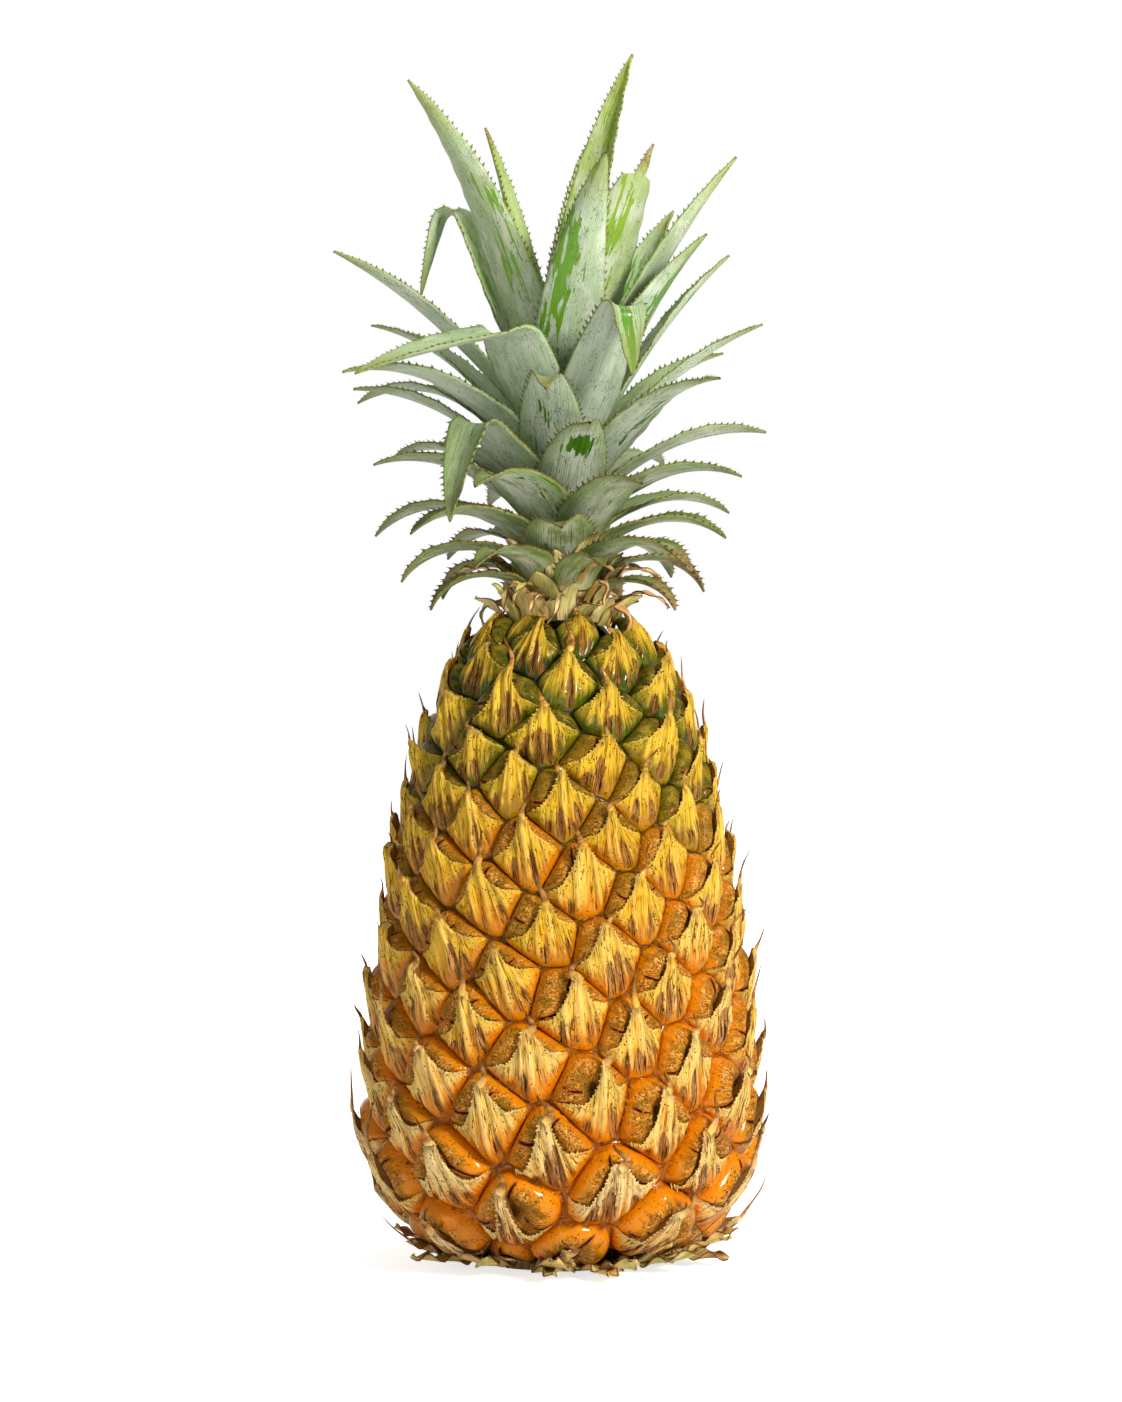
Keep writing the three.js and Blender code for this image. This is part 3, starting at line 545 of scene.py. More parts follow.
def add_awn(surface, shape):
    """The dry point that a bract's neck ends in, with a little curl of its own."""
    eye = shape.eye
    k = eye.k
    root = np.array([shape.neck[0], shape.neck[1] - 0.12 * eye.up])
    height = float(shape.bract_height(shape.margin, 1.0)[EYE_COLUMNS // 2])
    long_one = 0.45 * (chance(k, 6) > 0.65) + 0.35 * eye.low**3 - 0.3 * (1 - smooth(0.06, 0.16, eye.low))
    tip_x = root[0] + 0.55 * (chance(k, 1) - 0.5) * eye.wide
    tip_y = root[1] + eye.up * (0.32 + 0.25 * chance(k, 2) + long_one)
    tip_height = height + (0.8 + 4.2 * chance(k, 3)) * eye.size * mix(0.65, 1, eye.freedom)
    u = np.linspace(0, 1, 12)
    bow = np.sin(math.pi * u)
    x = mix(root[0], tip_x, u) + 0.3 * eye.wide * (chance(k, 4) - 0.5) * np.sin(1.6 * math.pi * u)
    y = mix(root[1], tip_y, u)
    sag = 1.2 * (chance(k, 5) - 0.4)
    lift = mix(height - 0.3, tip_height, u**1.5) - sag * bow * eye.size
    spine = eye.place(np.stack([x, y], -1), lift)
    half = eye.wide * mix(0.11, 0.15, chance(k, 7))
    widths = half * (1 - u) * (1 - 0.3 * np.sin(math.pi * u)) + 0.09
    widths[0] = half * 0.6
    widths[-1] = 0.03
    taper(surface, spine, widths, eye.normal(), 0.45, 6, **point_values(eye, 0.0, u))


def add_teeth(surface, shape):
    """Fine teeth along both free edges of a bract."""
    eye = shape.eye
    normal = eye.normal()
    for side in (-1, 1):
        count = int(11 * eye.size)
        for i in range(count):
            j = 70 + i + 40 * (side > 0)
            b = 0.1 + 0.68 * (i + 0.6 * chance(eye.k, j)) / count
            here = shape.edge_place(side * b, -0.15)
            towards_neck = shape.edge_place(side * (b - 0.06), -0.15)
            ahead = towards_neck - here
            ahead /= np.linalg.norm(ahead)
            out = np.cross(ahead, normal) * -side
            out /= np.linalg.norm(out)
            length = mix(0.45, 1.25, chance(eye.k, j + 100)) * eye.size
            tip = here + out * length * 0.8 + ahead * length * 0.7
            spine = np.array([here - out * 0.3, mix(here - out * 0.3, tip, 0.55), tip])
            widths = np.array([0.3, 0.2, 0.015]) * eye.size
            taper(surface, spine, widths, normal, 0.5, 3, **point_values(eye, side * b, np.ones(3)))


# The crown's leaves, with the CAD's forms.
def stem_radius(height):
    outline = [(0, 12.6), (0.1, 12.4), (0.5, 9), (0.85, 6), (1, 4.5)]
    return along(outline, (height - STEM_FOOT) / (LOWEST_ROOT + ROOT_RISE - STEM_FOOT))


# From the lowest leaf, 0, to the innermost, 1. Angles in degrees from the upright.
LENGTHS = [(0, 30), (0.1, 36), (0.25, 46), (0.45, 58), (0.6, 70), (0.8, 86), (1, 104)]
HALF_WIDTHS = [(0, 7.5), (0.2, 10), (0.45, 11), (0.8, 10.5), (1, 9)]
LEANS = [(0, 66), (0.2, 56), (0.45, 42), (0.6, 34), (0.8, 24), (1, 6)]
BENDS = [(0, 96), (0.2, 86), (0.45, 66), (0.6, 46), (0.8, 24), (1, 6)]

# Leaves with a look of their own, numbered from the lowest: their length, lean and bend.
OWN_LOOKS = {
    2: (36, 66, 90), 4: (30, 50, 70), 7: (36, 56, 76), 12: (36, 38, 62), 14: (44, 50, 78),
    17: (46, 40, 60), 19: (50, 46, 66), 20: (52, 38, 70), 22: (55, 46, 60), 23: (55, 46, 62),
    25: (50, 26, 50), 26: (62, 48, 60), 27: (61, 44, 52), 28: (72, 46, 16), 30: (72, 40, 44),
    31: (66, 40, 50), 33: (54, 18, 36), 34: (76, 34, 80), 35: (72, 38, 30), 36: (75, 41, 62),
    38: (79, 16, 8), 39: (76, 38, 40), 40: (80, 30, 18), 41: (92, 24, 20), 42: (78, 20, 36),
    43: (76, 28, 16), 44: (86, 38, 26), 45: (92, 29, 18), 46: (93, 8, 14), 47: (103, 21, 10),
    48: (94, 27, 12), 49: (112, 15, 25), 50: (90, 9, 9), 51: (85, 18, 8), 52: (88, 3, 6),
    53: (110, 3, 10),
}
OWN_HALF_WIDTHS = {
    12: 11.5, 17: 11.5, 20: 12, 25: 12, 28: 10.5, 33: 11.5, 35: 10, 38: 11.5, 41: 13, 43: 12, 44: 10.5,
    45: 10.5, 46: 11.5, 47: 10.5, 48: 11.5, 49: 11.5, 51: 11.5, 52: 10, 53: 10,
}
OWN_TURNS = {34: 150, 47: 154, 48: -22, 51: -48, 52: 152, 53: 62}
OWN_SWINGS = {38: 0.06, 46: 0.12, 53: -0.14}
# Folded leaves: where, as a share of the length, by what angle, and by what angle aside.
NO_FOLD = (0.5, 0, 0)
FOLDS = {
    28: (0.53, 94, 0), 33: (0.82, 50, 0), 38: (0.73, 142, 0), 41: (0.46, 62, -42), 47: (0.72, 132, 0),
}

PLAIN_BLADE = dict(swing=0, roll=0, opening=0, root_lean=math.inf, fold=NO_FOLD, thickness=LEAF_THICKNESS)


def leaf_of(index):
    share = index / (LEAF_COUNT - 1)
    root_height = LOWEST_ROOT + ROOT_RISE * share**1.15

    def usual(pairs, spread, j):
        return along(pairs, share) * (1 + spread * (chance(index, j) - 0.5))

    usual_look = usual(LENGTHS, 0.14, 4), usual(LEANS, 0.1, 6), usual(BENDS, 0.2, 7)
    length, lean, bend = OWN_LOOKS.get(index, usual_look)
    at, angle, aside = FOLDS.get(index, NO_FOLD)
    turn = TOP_LEAF_TURN + (LEAF_COUNT - 1 - index) * GOLDEN_ANGLE
    if index in OWN_TURNS:
        turn = math.radians(OWN_TURNS[index])
    return {
        **PLAIN_BLADE,
        "index": index,
        "share": share,
        "length": length,
        "root_height": root_height,
        "turn": turn,
        "root_radius": stem_radius(root_height) + LEAF_THICKNESS / 2 + LEAF_GAP,
        "half_width": OWN_HALF_WIDTHS.get(index, usual(HALF_WIDTHS, 0.12, 5)),
        "lean": math.radians(lean),
        "bend": math.radians(bend),
        "swing": OWN_SWINGS.get(index, 0.16 * (chance(index, 8) - 0.5)),
        "roll": math.radians(24 * (chance(index, 9) - 0.5)),
        "root_lean": SHEATH_LEAN,
        "fold": (at, math.radians(angle), math.radians(aside)),
    }


def turned(start, towards, angle):
    """Directions turned by angles towards others at right angles to them."""
    angle = np.asarray(angle)[..., None]
    return start * np.cos(angle) + towards * np.sin(angle)


class Line:
    """A blade's middle line: points and directions along it. Inner points out of its upper face."""

    def __init__(self, leaf):
        radial = np.array([math.cos(leaf["turn"]), math.sin(leaf["turn"]), 0])
        side = np.array([-radial[1], radial[0], 0])
        up = np.array([0, 0, 1.0])
        s = np.linspace(0, 1, LINE_STEPS + 1)
        at, angle, aside = leaf["fold"]
        folded = smooth(at - CREASE, at + CREASE, s)
        leaning = smooth(0, SHEATH_LENGTH / leaf["length"], s)
        lean = mix(min(leaf["lean"], leaf["root_lean"]), leaf["lean"], leaning) + leaf["opening"]
        tilt = lean + leaf["bend"] * s**1.4 + angle * folded
        drift = np.arctan(2 * leaf["swing"] * s) + aside * folded
        ahead = turned(up, radial, tilt)
        tangent = turned(ahead, side, drift)
        level = turned(side, ahead, -drift)
        across = turned(level, np.cross(tangent, level), leaf["roll"] * s)
        root = radial * leaf["root_radius"] + up * leaf["root_height"]
        steps = np.cumsum(tangent[:-1], 0) * leaf["length"] / LINE_STEPS
        self.s = s
        self.point = root + np.vstack([[0, 0, 0], steps])
        self.tangent = tangent
        self.across = across
        self.inner = np.cross(tangent, across)

    def at(self, s):
        """Point, tangent, across and inner at shares s of the length."""
        def between(rows):
            return np.stack([np.interp(s, self.s, rows[:, i]) for i in range(3)], -1)

        def direction(rows):
            found = between(rows)
            return found / np.linalg.norm(found, axis=-1)[..., None]

        return between(self.point), direction(self.tangent), direction(self.across), direction(self.inner)


def fit_opening(leaf, node):
    """The CAD bends a leaf out until it is clear of the inner ones: finds by how much, from its tip."""
    points = np.array([v.co for v in node.data.vertices]) / MM

    def miss(steps):
        tip = Line({**leaf, "opening": steps * OPENING_STEP}).point[-1]
        return np.linalg.norm(points - tip, axis=1).min()

    return min(range(MOST_OPENINGS + 1), key=miss) * OPENING_STEP


# The torn leaf: a share of its length, past which only a narrow dry point is left.
TORN = {51: 0.86}
# Where a leaf's tip has dried, as a share of its length.
DRY_FROM = {51: 0.86, 52: 0.88, 33: 0.88, 0: 0.3, 1: 0.5, 3: 0.45, 5: 0.6, 6: 0.5, 9: 0.7, 8: 0.6}


def half_width_at(leaf, s):
    root = min(0.8 * leaf["half_width"], ROOT_WRAP * leaf["root_radius"])
    torn = TORN.get(leaf["index"], 2)
    fullness = 4.0 if torn < 1 else 2.1
    left = mix(1, 0.4, smooth(torn, torn + 0.012, s))
    return mix(root, leaf["half_width"], smooth(0, 0.3, s)) * (1 - s**fullness) ** 0.85 * left


def blade_frame(leaf, line, s):
    """What a blade's cross-sections at s need: point, directions, half width and half angle."""
    point, tangent, across, inner = line.at(s)
    half = half_width_at(leaf, s)
    nested = half / np.hypot(point[..., 0], point[..., 1])
    channel = mix(nested, 0.75, smooth(0.3, 0.8, s))
    return point, tangent, across, inner, half, channel


def blade_points(leaf, line, s, t, face, wave=0.0):
    """Points of a blade: s along it, t across it, on its upper face, 1, or its lower one, -1."""
    point, _, across, inner, half, channel = blade_frame(leaf, line, s)
    radius = half / channel
    angle = channel[:, None] * t
    edge = 1 - 0.35 * np.abs(t) ** 3
    mm = s[:, None] * leaf["length"]
    ripple = wave * np.abs(t) ** 2.5 * np.sin(mm * 0.75 + 9 * chance(leaf["index"], 80) + 2 * np.sign(t))
    ripple = ripple * smooth(0.1, 0.3, s)[:, None]
    out = turned(inner[:, None], across[:, None], -angle)
    offset = face * leaf["thickness"] * edge / 2 + ripple
    return (
        point[:, None]
        + across[:, None] * (radius[:, None] * np.sin(angle))[..., None]
        + inner[:, None] * (radius[:, None] * (1 - np.cos(angle)))[..., None]
        + out * offset[..., None]
    )


# Where the wax has been rubbed off a leaf: by leaf index, the share of the length it is centred on, how
# far it reaches, its place across from -1 to 1, and how much is rubbed.
RUBBED = {
    53: (0.55, 0.6, -0.2, 0.62), 51: (0.62, 0.4, -0.4, 0.68), 48: (0.6, 0.5, 0.5, 0.8),
    46: (0.62, 0.4, -0.5, 0.8), 43: (0.62, 0.5, 0.1, 1.0), 38: (0.9, 0.2, 0, 0.9), 33: (0.5, 0.3, 0, 0.3),
    25: (0.62, 0.14, 0, 0.95), 30: (0.5, 0.3, 0.2, 0.6), 27: (0.5, 0.3, 0.1, 0.65),
    40: (0.6, 0.4, 0, 0.6), 32: (0.4, 0.2, -0.3, 0.4), 22: (0.35, 0.15, 0, 0.6),
    49: (0.5, 0.3, 0.4, 0.45), 20: (0.4, 0.2, 0.7, 0.4),
    37: (0.5, 0.4, 0, 0.5), 45: (0.5, 0.4, 0.3, 0.55), 29: (0.5, 0.3, 0, 0.4), 42: (0.5, 0.3, 0, 0.55),
    34: (0.5, 0.6, 0, 0.6), 26: (0.5, 0.3, 0, 0.55), 47: (0.5, 0.5, 0.2, 0.5), 39: (0.5, 0.4, 0.2, 0.5),
}


def blade_values(leaf, s, t, face, spine):
    """What the leaf's material reads. Spine runs from 0 to 1 on a spine and to -1 where a blade is dry."""
    shape = np.broadcast(s[:, None], t).shape
    full = lambda x: np.broadcast_to(x, shape)
    half = half_width_at(leaf, s)[:, None]
    centre, extent, place, amount = leaf.get("rubbed", (0.5, 0.3, 0, 0.12))
    near = np.exp(-(((s[:, None] - centre) / extent) ** 2) - ((t - place) / 0.7) ** 2)
    dry_from = DRY_FROM.get(leaf["index"], 2)
    spine = spine - smooth(dry_from, dry_from + 0.1, s)[:, None] * (np.max(spine) <= 0)
    return dict(
        blade=np.stack([full(t), full(s[:, None]), full(face)], -1),
        blade_mm=np.stack([full(t * half), full(s[:, None] * leaf["length"]), full(spine)], -1),
        blade_look=np.stack([full(leaf["share"]), full(near * amount), full(leaf["seed"])], -1),
    )


def add_blade(surface, leaf, line, wave=EDGE_WAVE):
    """The blade as one closed skin: its upper face, its edges and its lower face."""
    stations = max(12, int(leaf["length"] / LEAF_STEP))
    s = np.linspace(0, 1, stations) ** 0.96 * 0.995
    t = np.linspace(-1, 1, LEAF_COLUMNS)
    upper = blade_points(leaf, line, s, t, 1, wave)
    lower = blade_points(leaf, line, s, t[::-1], -1, wave)
    values = [blade_values(leaf, s, t, 1.0, 0.0), blade_values(leaf, s, t[::-1], -1.0, 0.0)]
    joined = {key: np.concatenate([v[key] for v in values], 1) for key in values[0]}
    surface.grid(np.concatenate([upper, lower], 1), closed=True, flip=True, **joined)


def add_spines(surface, leaf, line):
    """Hooked spines along both edges, that lean to the leaf's tip."""
    length = leaf["length"]
    for side in (-1, 1):
        at = 0.1 * length
        i = 0
        while at < 0.97 * length:
            j = 90 + i + 60 * (side > 0)
            s = np.array([at / length])
            _, tangent, across, inner, _, channel = blade_frame(leaf, line, s)
            edge = blade_points(leaf, line, s, np.array([side * 0.99]), 0, EDGE_WAVE)[0, 0]
            out = turned(across, inner, channel * side)[0] * side
            size = mix(0.95, 1.5, chance(leaf["index"], j)) * mix(1.2, 0.8, leaf["share"])
            size *= float(1 - 0.45 * smooth(0.75, 1, s[0]))
            size *= float(mix(0.45, 1, smooth(0.08, 0.3, s[0])))
            u = np.array([-0.25, 0.2, 0.6, 1])[:, None]
            hook = tangent[0] * (u**2) * 0.62 * size
            spine = edge + out * u * 0.8 * size + hook + inner[0] * u * 0.18 * size
            widths = np.array([0.52, 0.42, 0.22, 0.03]) * size
            up_spine = np.array([[0.2], [0.45], [0.8], [1.0]])
            values = blade_values(leaf, np.repeat(s, 4), np.array([float(side)]), -1.0, up_spine)
            taper(surface, spine, widths, inner[0], 0.4, 4, **values)
            step = SPINE_STEP * mix(0.75, 1.25, chance(leaf["index"], j + 200))
            at += step * float(mix(1, 0.7, smooth(0.6, 1, s[0])))
            i += 1


# Materials. Each reads the values that the surfaces carry at their points.
def colour(code):
    """A colour written as on a screen, as linear light."""
    parts = [int(code[i:i + 2], 16) / 255 for i in (0, 2, 4)]
    return [p / 12.92 if p <= 0.04045 else ((p + 0.055) / 1.055) ** 2.4 for p in parts] + [1]


class Value:
    """A node's output that can stand in a sum, such as 1 - a * 0.4."""

    def __init__(self, paint, socket):
        self.paint = paint
        self.socket = socket

    def __add__(self, other):
        return self.paint.math("ADD", self, other)

    def __sub__(self, other):
        return self.paint.math("SUBTRACT", self, other)

    def __rsub__(self, other):
        return self.paint.math("SUBTRACT", other, self)

    def __mul__(self, other):
        return self.paint.math("MULTIPLY", self, other)


class Paint:
    """Short ways to write a material's nodes. Values, plain numbers and colour codes can be mixed."""

    def __init__(self, name):
        self.material = bpy.data.materials.new(name)
        self.material.use_nodes = True
        self.tree = self.material.node_tree
        self.tree.nodes.clear()

    def put(self, socket, value):
        if isinstance(value, Value):
            self.tree.links.new(value.socket, socket)
        elif isinstance(value, str):
            socket.default_value = colour(value)
        else:
            socket.default_value = value

    def node(self, kind, inputs, **settings):
        """A new node, with its settings and with what goes on its inputs, by index or name."""
        made = self.tree.nodes.new(kind)
        for key, value in settings.items():
            setattr(made, key, value)
        for key, value in inputs.items():
            self.put(made.inputs[key], value)
        return made

    def out(self, kind, inputs, output=0, **settings):
        """The same, but gives one output of the new node."""
        return Value(self, self.node(kind, inputs, **settings).outputs[output])

    def attribute(self, name):
        """The three values at each point, split."""
        return self.split(self.out("ShaderNodeAttribute", {}, "Vector", attribute_name=name))

    def split(self, vector):
        made = self.node("ShaderNodeSeparateXYZ", {0: vector})
        return [Value(self, socket) for socket in made.outputs]

    def vector(self, x, y, z=0.0):
        return self.out("ShaderNodeCombineXYZ", {0: x, 1: y, 2: z})

    def math(self, operation, a, b=0.0, c=0.0):
        return self.out("ShaderNodeMath", {0: a, 1: b, 2: c}, operation=operation)

    def size(self, value):
        """A value without its sign."""
        return self.math("ABSOLUTE", value)

    def most(self, a, b):
        return self.math("MAXIMUM", a, b)

    def band(self, value, low, high, start=0.0, end=1.0):
        """Goes smoothly from start to end while the value goes from low to high."""
        inputs = {0: value, 1: low, 2: high, 3: start, 4: end}
        return self.out("ShaderNodeMapRange", inputs, interpolation_type="SMOOTHSTEP")

    def mix(self, factor, a, b):
        """A colour that goes from a to b as the factor goes from 0 to 1."""
        return self.out("ShaderNodeMix", {0: factor, 6: a, 7: b}, 2, data_type="RGBA", clamp_factor=True)

    def between(self, factor, a, b):
        """A number that goes from a to b as the factor goes from 0 to 1."""
        return self.out("ShaderNodeMix", {0: factor, 2: a, 3: b}, data_type="FLOAT", clamp_factor=True)

    def ramp(self, value, stops):
        """A colour that runs through (place, code) stops."""
        made = self.node("ShaderNodeValToRGB", {0: value})
        elements = made.color_ramp.elements
        while len(elements) < len(stops):
            elements.new(0.5)
        for element, (at, code) in zip(elements, stops):
            element.position = at
            element.color = colour(code)
        return Value(self, made.outputs[0])

    def deepen(self, code, power):
        """Darker and more saturated, and the same where the colour is full."""
        return self.out("ShaderNodeGamma", {0: code, 1: power})

    def noise(self, vector, scale, detail=2.0, roughness=0.5, distortion=0.0):
        inputs = {"Vector": vector, "Scale": scale, "Detail": detail, "Roughness": roughness}
        return self.out("ShaderNodeTexNoise", {**inputs, "Distortion": distortion})

    def cells(self, vector, scale):
        """Distance to the nearest of many scattered points."""
        return self.out("ShaderNodeTexVoronoi", {"Vector": vector, "Scale": scale})

    def place(self):
        """The point's own place on the object, in metres."""
        return self.out("ShaderNodeNewGeometry", {}, "Position")

    def bump(self, height, strength, distance):
        return self.out("ShaderNodeBump", {"Strength": strength, "Distance": distance, "Height": height})

    def finish(self, base, roughness, normal, **others):
        """The material, with the shader's other inputs named by keys such as coat_weight."""
        inputs = {"Base Color": base, "Roughness": roughness, "Normal": normal}
        for name, value in others.items():
            inputs[name.replace("_", " ").title().replace("Ior", "IOR")] = value
        shader = self.out("ShaderNodeBsdfPrincipled", inputs)
        self.node("ShaderNodeOutputMaterial", {0: shader})
        return self.material


def rind_material():
    p = Paint("pineapple_rind")
    a, t, region = p.attribute("eye_fan")
    x, y, q = p.attribute("eye_spot")
    rho, low, seed = p.attribute("eye_look")
    place = p.place()
    blotch = p.noise(place, 90, 3, 0.6)
    drift = blotch - 0.5
    rise = 1 - low + (seed - 0.5) * 0.16
    rise = rise + (p.noise(place, 18, 2, 0.5) - 0.5) * 0.22
    rise = rise + drift * 0.15
    seed_far = seed * 37.0
    b = p.size(a)

    def streaks_of(across, along_it, scale, detail, roughness, shift=None):
        """Streaks that run up a bract, finer across it than along it."""
        far = seed_far + shift if shift else seed_far
        return p.noise(p.vector(a * across, t * along_it, far), scale, detail, roughness)

    dome = p.band(region, 0.6, 0.9) * p.band(region, 1.9, 1.4)
    point = p.band(region, 1.5, 1.9)

    # The bract: fleshy at its foot, drier towards its edges and neck.
    streaks = streaks_of(13.0, 1.1, 1.6, 4, 0.62)
    fine = streaks_of(46.0, 2.6, 1.5, 3, 0.6)
    foot = p.ramp(rise, [
        (0, "F4B222"), (0.2, "F2B424"), (0.42, "EEB628"),
        (0.62, "E6B82E"), (0.76, "C8B038"), (0.88, "849A30"), (0.97, "52722C"),
    ])
    upper = p.ramp(rise, [
        (0, "FAECCC"), (0.2, "FAE7B2"), (0.4, "F8DF90"),
        (0.62, "F4D86C"), (0.8, "F2DC70"), (0.93, "EAD472"),
    ])
    up_bract = t + (streaks - 0.5) * 0.8
    skin = p.mix(p.band(up_bract, 0.16, 0.62), foot, upper)
    pale_streak = p.band(streaks, 0.54, 0.74) * p.band(low, 0.4, 0.9, 0.5, 0.8)
    skin = p.mix(pale_streak, skin, p.mix(low, "EED87C", "FDF0CC"))
    skin = p.mix(p.band(streaks, 0.44, 0.3) * 0.3, skin, foot)
    warm = p.band(p.noise(p.vector(x, y, seed_far + 5.0), 1.6, 3, 0.6), 0.5, 0.7)
    skin = p.mix(warm * p.band(rise, 0.45, 0.85, 0.45, 0.1), skin, "F0AE22")
    green_side = p.band(rise, 0.6, 0.95) * p.band(b + drift, 0.3, 0.75)
    skin = p.mix(green_side * 0.65, skin, "6E8426")
    ridge, hollow, _ = p.attribute("eye_form")
    # Painted highlight: the bract's ridges are lightened towards a pale yellow, as if light caught them.
    ridge_painted_highlight = p.band(ridge, 0.2, 0.7) * p.band(t, 0.1, 0.3)
    skin = p.mix(ridge_painted_highlight * 0.6, skin, p.mix(low, "F8DC78", "FFF2D2"))
    foot_line = p.band(ridge, 0.05, 0.16) * p.band(ridge, 0.4, 0.24)
    foot_line = foot_line * (p.band(fine, 0.5, 0.6) * p.band(t, 0.12, 0.3))
    skin = p.mix(foot_line * 0.6, skin, "7A4A1C")

    # The dry, brown hollows between the ridges' feet, with dark fibres.
    patch = streaks_of(9.0, 3.5, 1.5, 4, 0.65)
    dry = hollow + (patch - 0.5) * 1.1
    dry = p.band(dry, 0.3, 0.42) * p.band(hollow, 0.02, 0.12)
    dry_colour = p.mix(p.band(fine, 0.42, 0.56), "8E6040", "E0BC98")
    dry_colour = p.mix(p.band(rise, 0.5, 0.9) * 0.4, dry_colour, "A87C58")
    skin = p.mix(dry * 0.75, skin, dry_colour)
    hair = streaks_of(30.0, 1.5, 1.5, 2, 0.5, 3.0)
    fibre = p.band(hair, 0.58, 0.62) * p.band(hollow, 0.1, 0.3)
    skin = p.mix(fibre * 0.9, skin, "4A2610")

    skin = p.mix(p.band(fine, 0.56, 0.68, 0.0, 0.45), skin, p.mix(low, "A88A2A", "CE9A48"))

    # Long thin strands that gather at the neck.
    strand = streaks_of(9.0, 0.7, 1.7, 2, 0.5, 11.0)
    strand = p.band(p.size(strand - 0.5), 0.022, 0.008)
    strand = strand * (p.band(t, 0.15, 0.4) * p.band(blotch, 0.36, 0.5))
    skin = p.mix(strand * 0.8, skin, "7A4A1E")

    # The neck turns dry towards its point.
    neck = p.band(t, 0.8, 1.0) * p.band(b, 0.3, 0.1)
    skin = p.mix(neck * p.band(streaks, 0.36, 0.58), skin, "947650")
    margin = p.band(t + (fine - 0.5) * 0.16, 0.88, 0.98)
    skin = p.mix(margin * 0.6, skin, p.mix(low, "F0DC90", "FDF0CE"))

    # The dome: a glossy rim round a dry, streaked middle.
    angle = p.math("ARCTAN2", y, x)
    ray = p.noise(p.vector(angle * 4.0, q * 1.2, seed_far), 1.7, 4, 0.65)
    stipple = p.noise(place, 1500, 2, 0.7)
    ray_fine = p.noise(p.vector(angle * 9.0, q * 3.0, seed_far), 1.8, 3, 0.65)
    ray_fine = p.between(0.55, ray_fine, stipple)
    rim = p.ramp(rise, [
        (0, "EAB420"), (0.3, "EAB526"), (0.5, "E4B430"),
        (0.68, "C6AE3A"), (0.82, "98A040"), (0.95, "687E34"),
    ])
    dry_reach = p.between(p.band(rise, 0.0, 0.5), 0.7, 0.98)
    dry_middle = q + (ray - 0.5) * 0.7
    dry_middle = p.band(dry_middle - dry_reach, 0.06, -0.14)
    dry_dome = p.mix(p.band(ray_fine, 0.42, 0.58), "A87430", "F2D090")
    dry_dome = p.mix(p.band(ray, 0.42, 0.6) * 0.6, dry_dome, "CE9A34")
    cloud = p.noise(p.vector(x, y, seed_far + 2.0), 3.4, 3, 0.6)
    green_dome = p.mix(p.band(cloud, 0.42, 0.6), "55702A", "ACA64A")
    dry_dome = p.mix(p.band(rise, 0.5, 0.85) * 0.85, dry_dome, green_dome)
    olive = p.band(p.noise(p.vector(x, y, seed_far), 2.6, 2, 0.5), 0.48, 0.62)
    dry_dome = p.mix(olive * 0.5, dry_dome, "96822E")
    dome_colour = p.mix(dry_middle * 0.94, rim, dry_dome)
    core = p.band(q, 0.34, 0.1)
    dome_colour = p.mix(core * 0.6, dome_colour, "5A3818")

    # Dark slits where the flower's parts met.
    slit_angle = angle + (seed - 0.5) * 1.2
    slit_angle = slit_angle + q * 0.5
    folds = p.size(p.math("SINE", slit_angle * 1.5 + 0.55))
    folds = p.math("DIVIDE", folds, p.math("DIVIDE", 0.06, p.most(q, 0.2)))
    slit = p.band(folds, 1.0, 0.4) * (p.band(q, 0.26, 0.4) * p.band(q, 0.92, 0.74))
    slit = slit * p.band(p.noise(p.vector(angle, q, seed_far), 3.0, 1, 0.5), 0.36, 0.44)
    lip = p.band(folds, 2.8, 1.2) * (p.band(q, 0.38, 0.5) * p.band(q, 0.9, 0.75))
    dome_colour = p.mix(lip * 0.45, dome_colour, "D07A30")
    dome_colour = p.mix(slit, dome_colour, "3A1A08")

    base = p.mix(dome, skin, dome_colour)
    dots = p.band(p.cells(place, 760), 0.24, 0.12)
    dots = dots * p.band(p.noise(place, 150, 2, 0.5), 0.42, 0.54)
    base = p.mix(dots * 0.8, base, "4E2A10")

    # The grooves between the eyes, darkened partly in their own colour and partly as painted shade, and
    # painted shade under a bract's free edge.
    groove = p.ramp(rise, [
        (0, "BC7C1C"), (0.3, "B0761C"), (0.55, "926A1E"), (0.75, "5A641C"), (0.9, "2C4418"),
    ])
    warm_rim = p.band(rho, 0.7, 0.96, 0.0, 0.7) * p.band(rise, 0.75, 0.55)
    base = p.mix(warm_rim * p.band(blotch, 0.35, 0.65) * 0.7, base, "F0AC1E")
    # Painted shade, partly the grooves' own darker colour: the cell's edge darkens towards the groove
    # colour.
    base = p.mix(p.band(rho, 0.972, 1.0) * p.band(rise, 0.4, 0.8, 0.6, 0.85), base, groove)
    # Painted shade: the bract's inner face under its free edge is darkened, as the shadow there.
    under = p.band(region, 0.2, 0.45) * p.band(region, 0.95, 0.7)
    base = p.mix(under * 0.7, base, "8E5A14")

    # The awns and teeth.
    on_awn = point * p.band(b, 0.02, 0.01)
    awn_colour = p.mix(p.band(fine, 0.35, 0.65), "AC8650", "E2C48E")
    awn_colour = p.mix(p.band(t, 0.35, 0.9), awn_colour, "8E6A42")
    base = p.mix(point, base, upper)
    base = p.mix(on_awn * p.band(t, 0.0, 0.25), base, awn_colour)

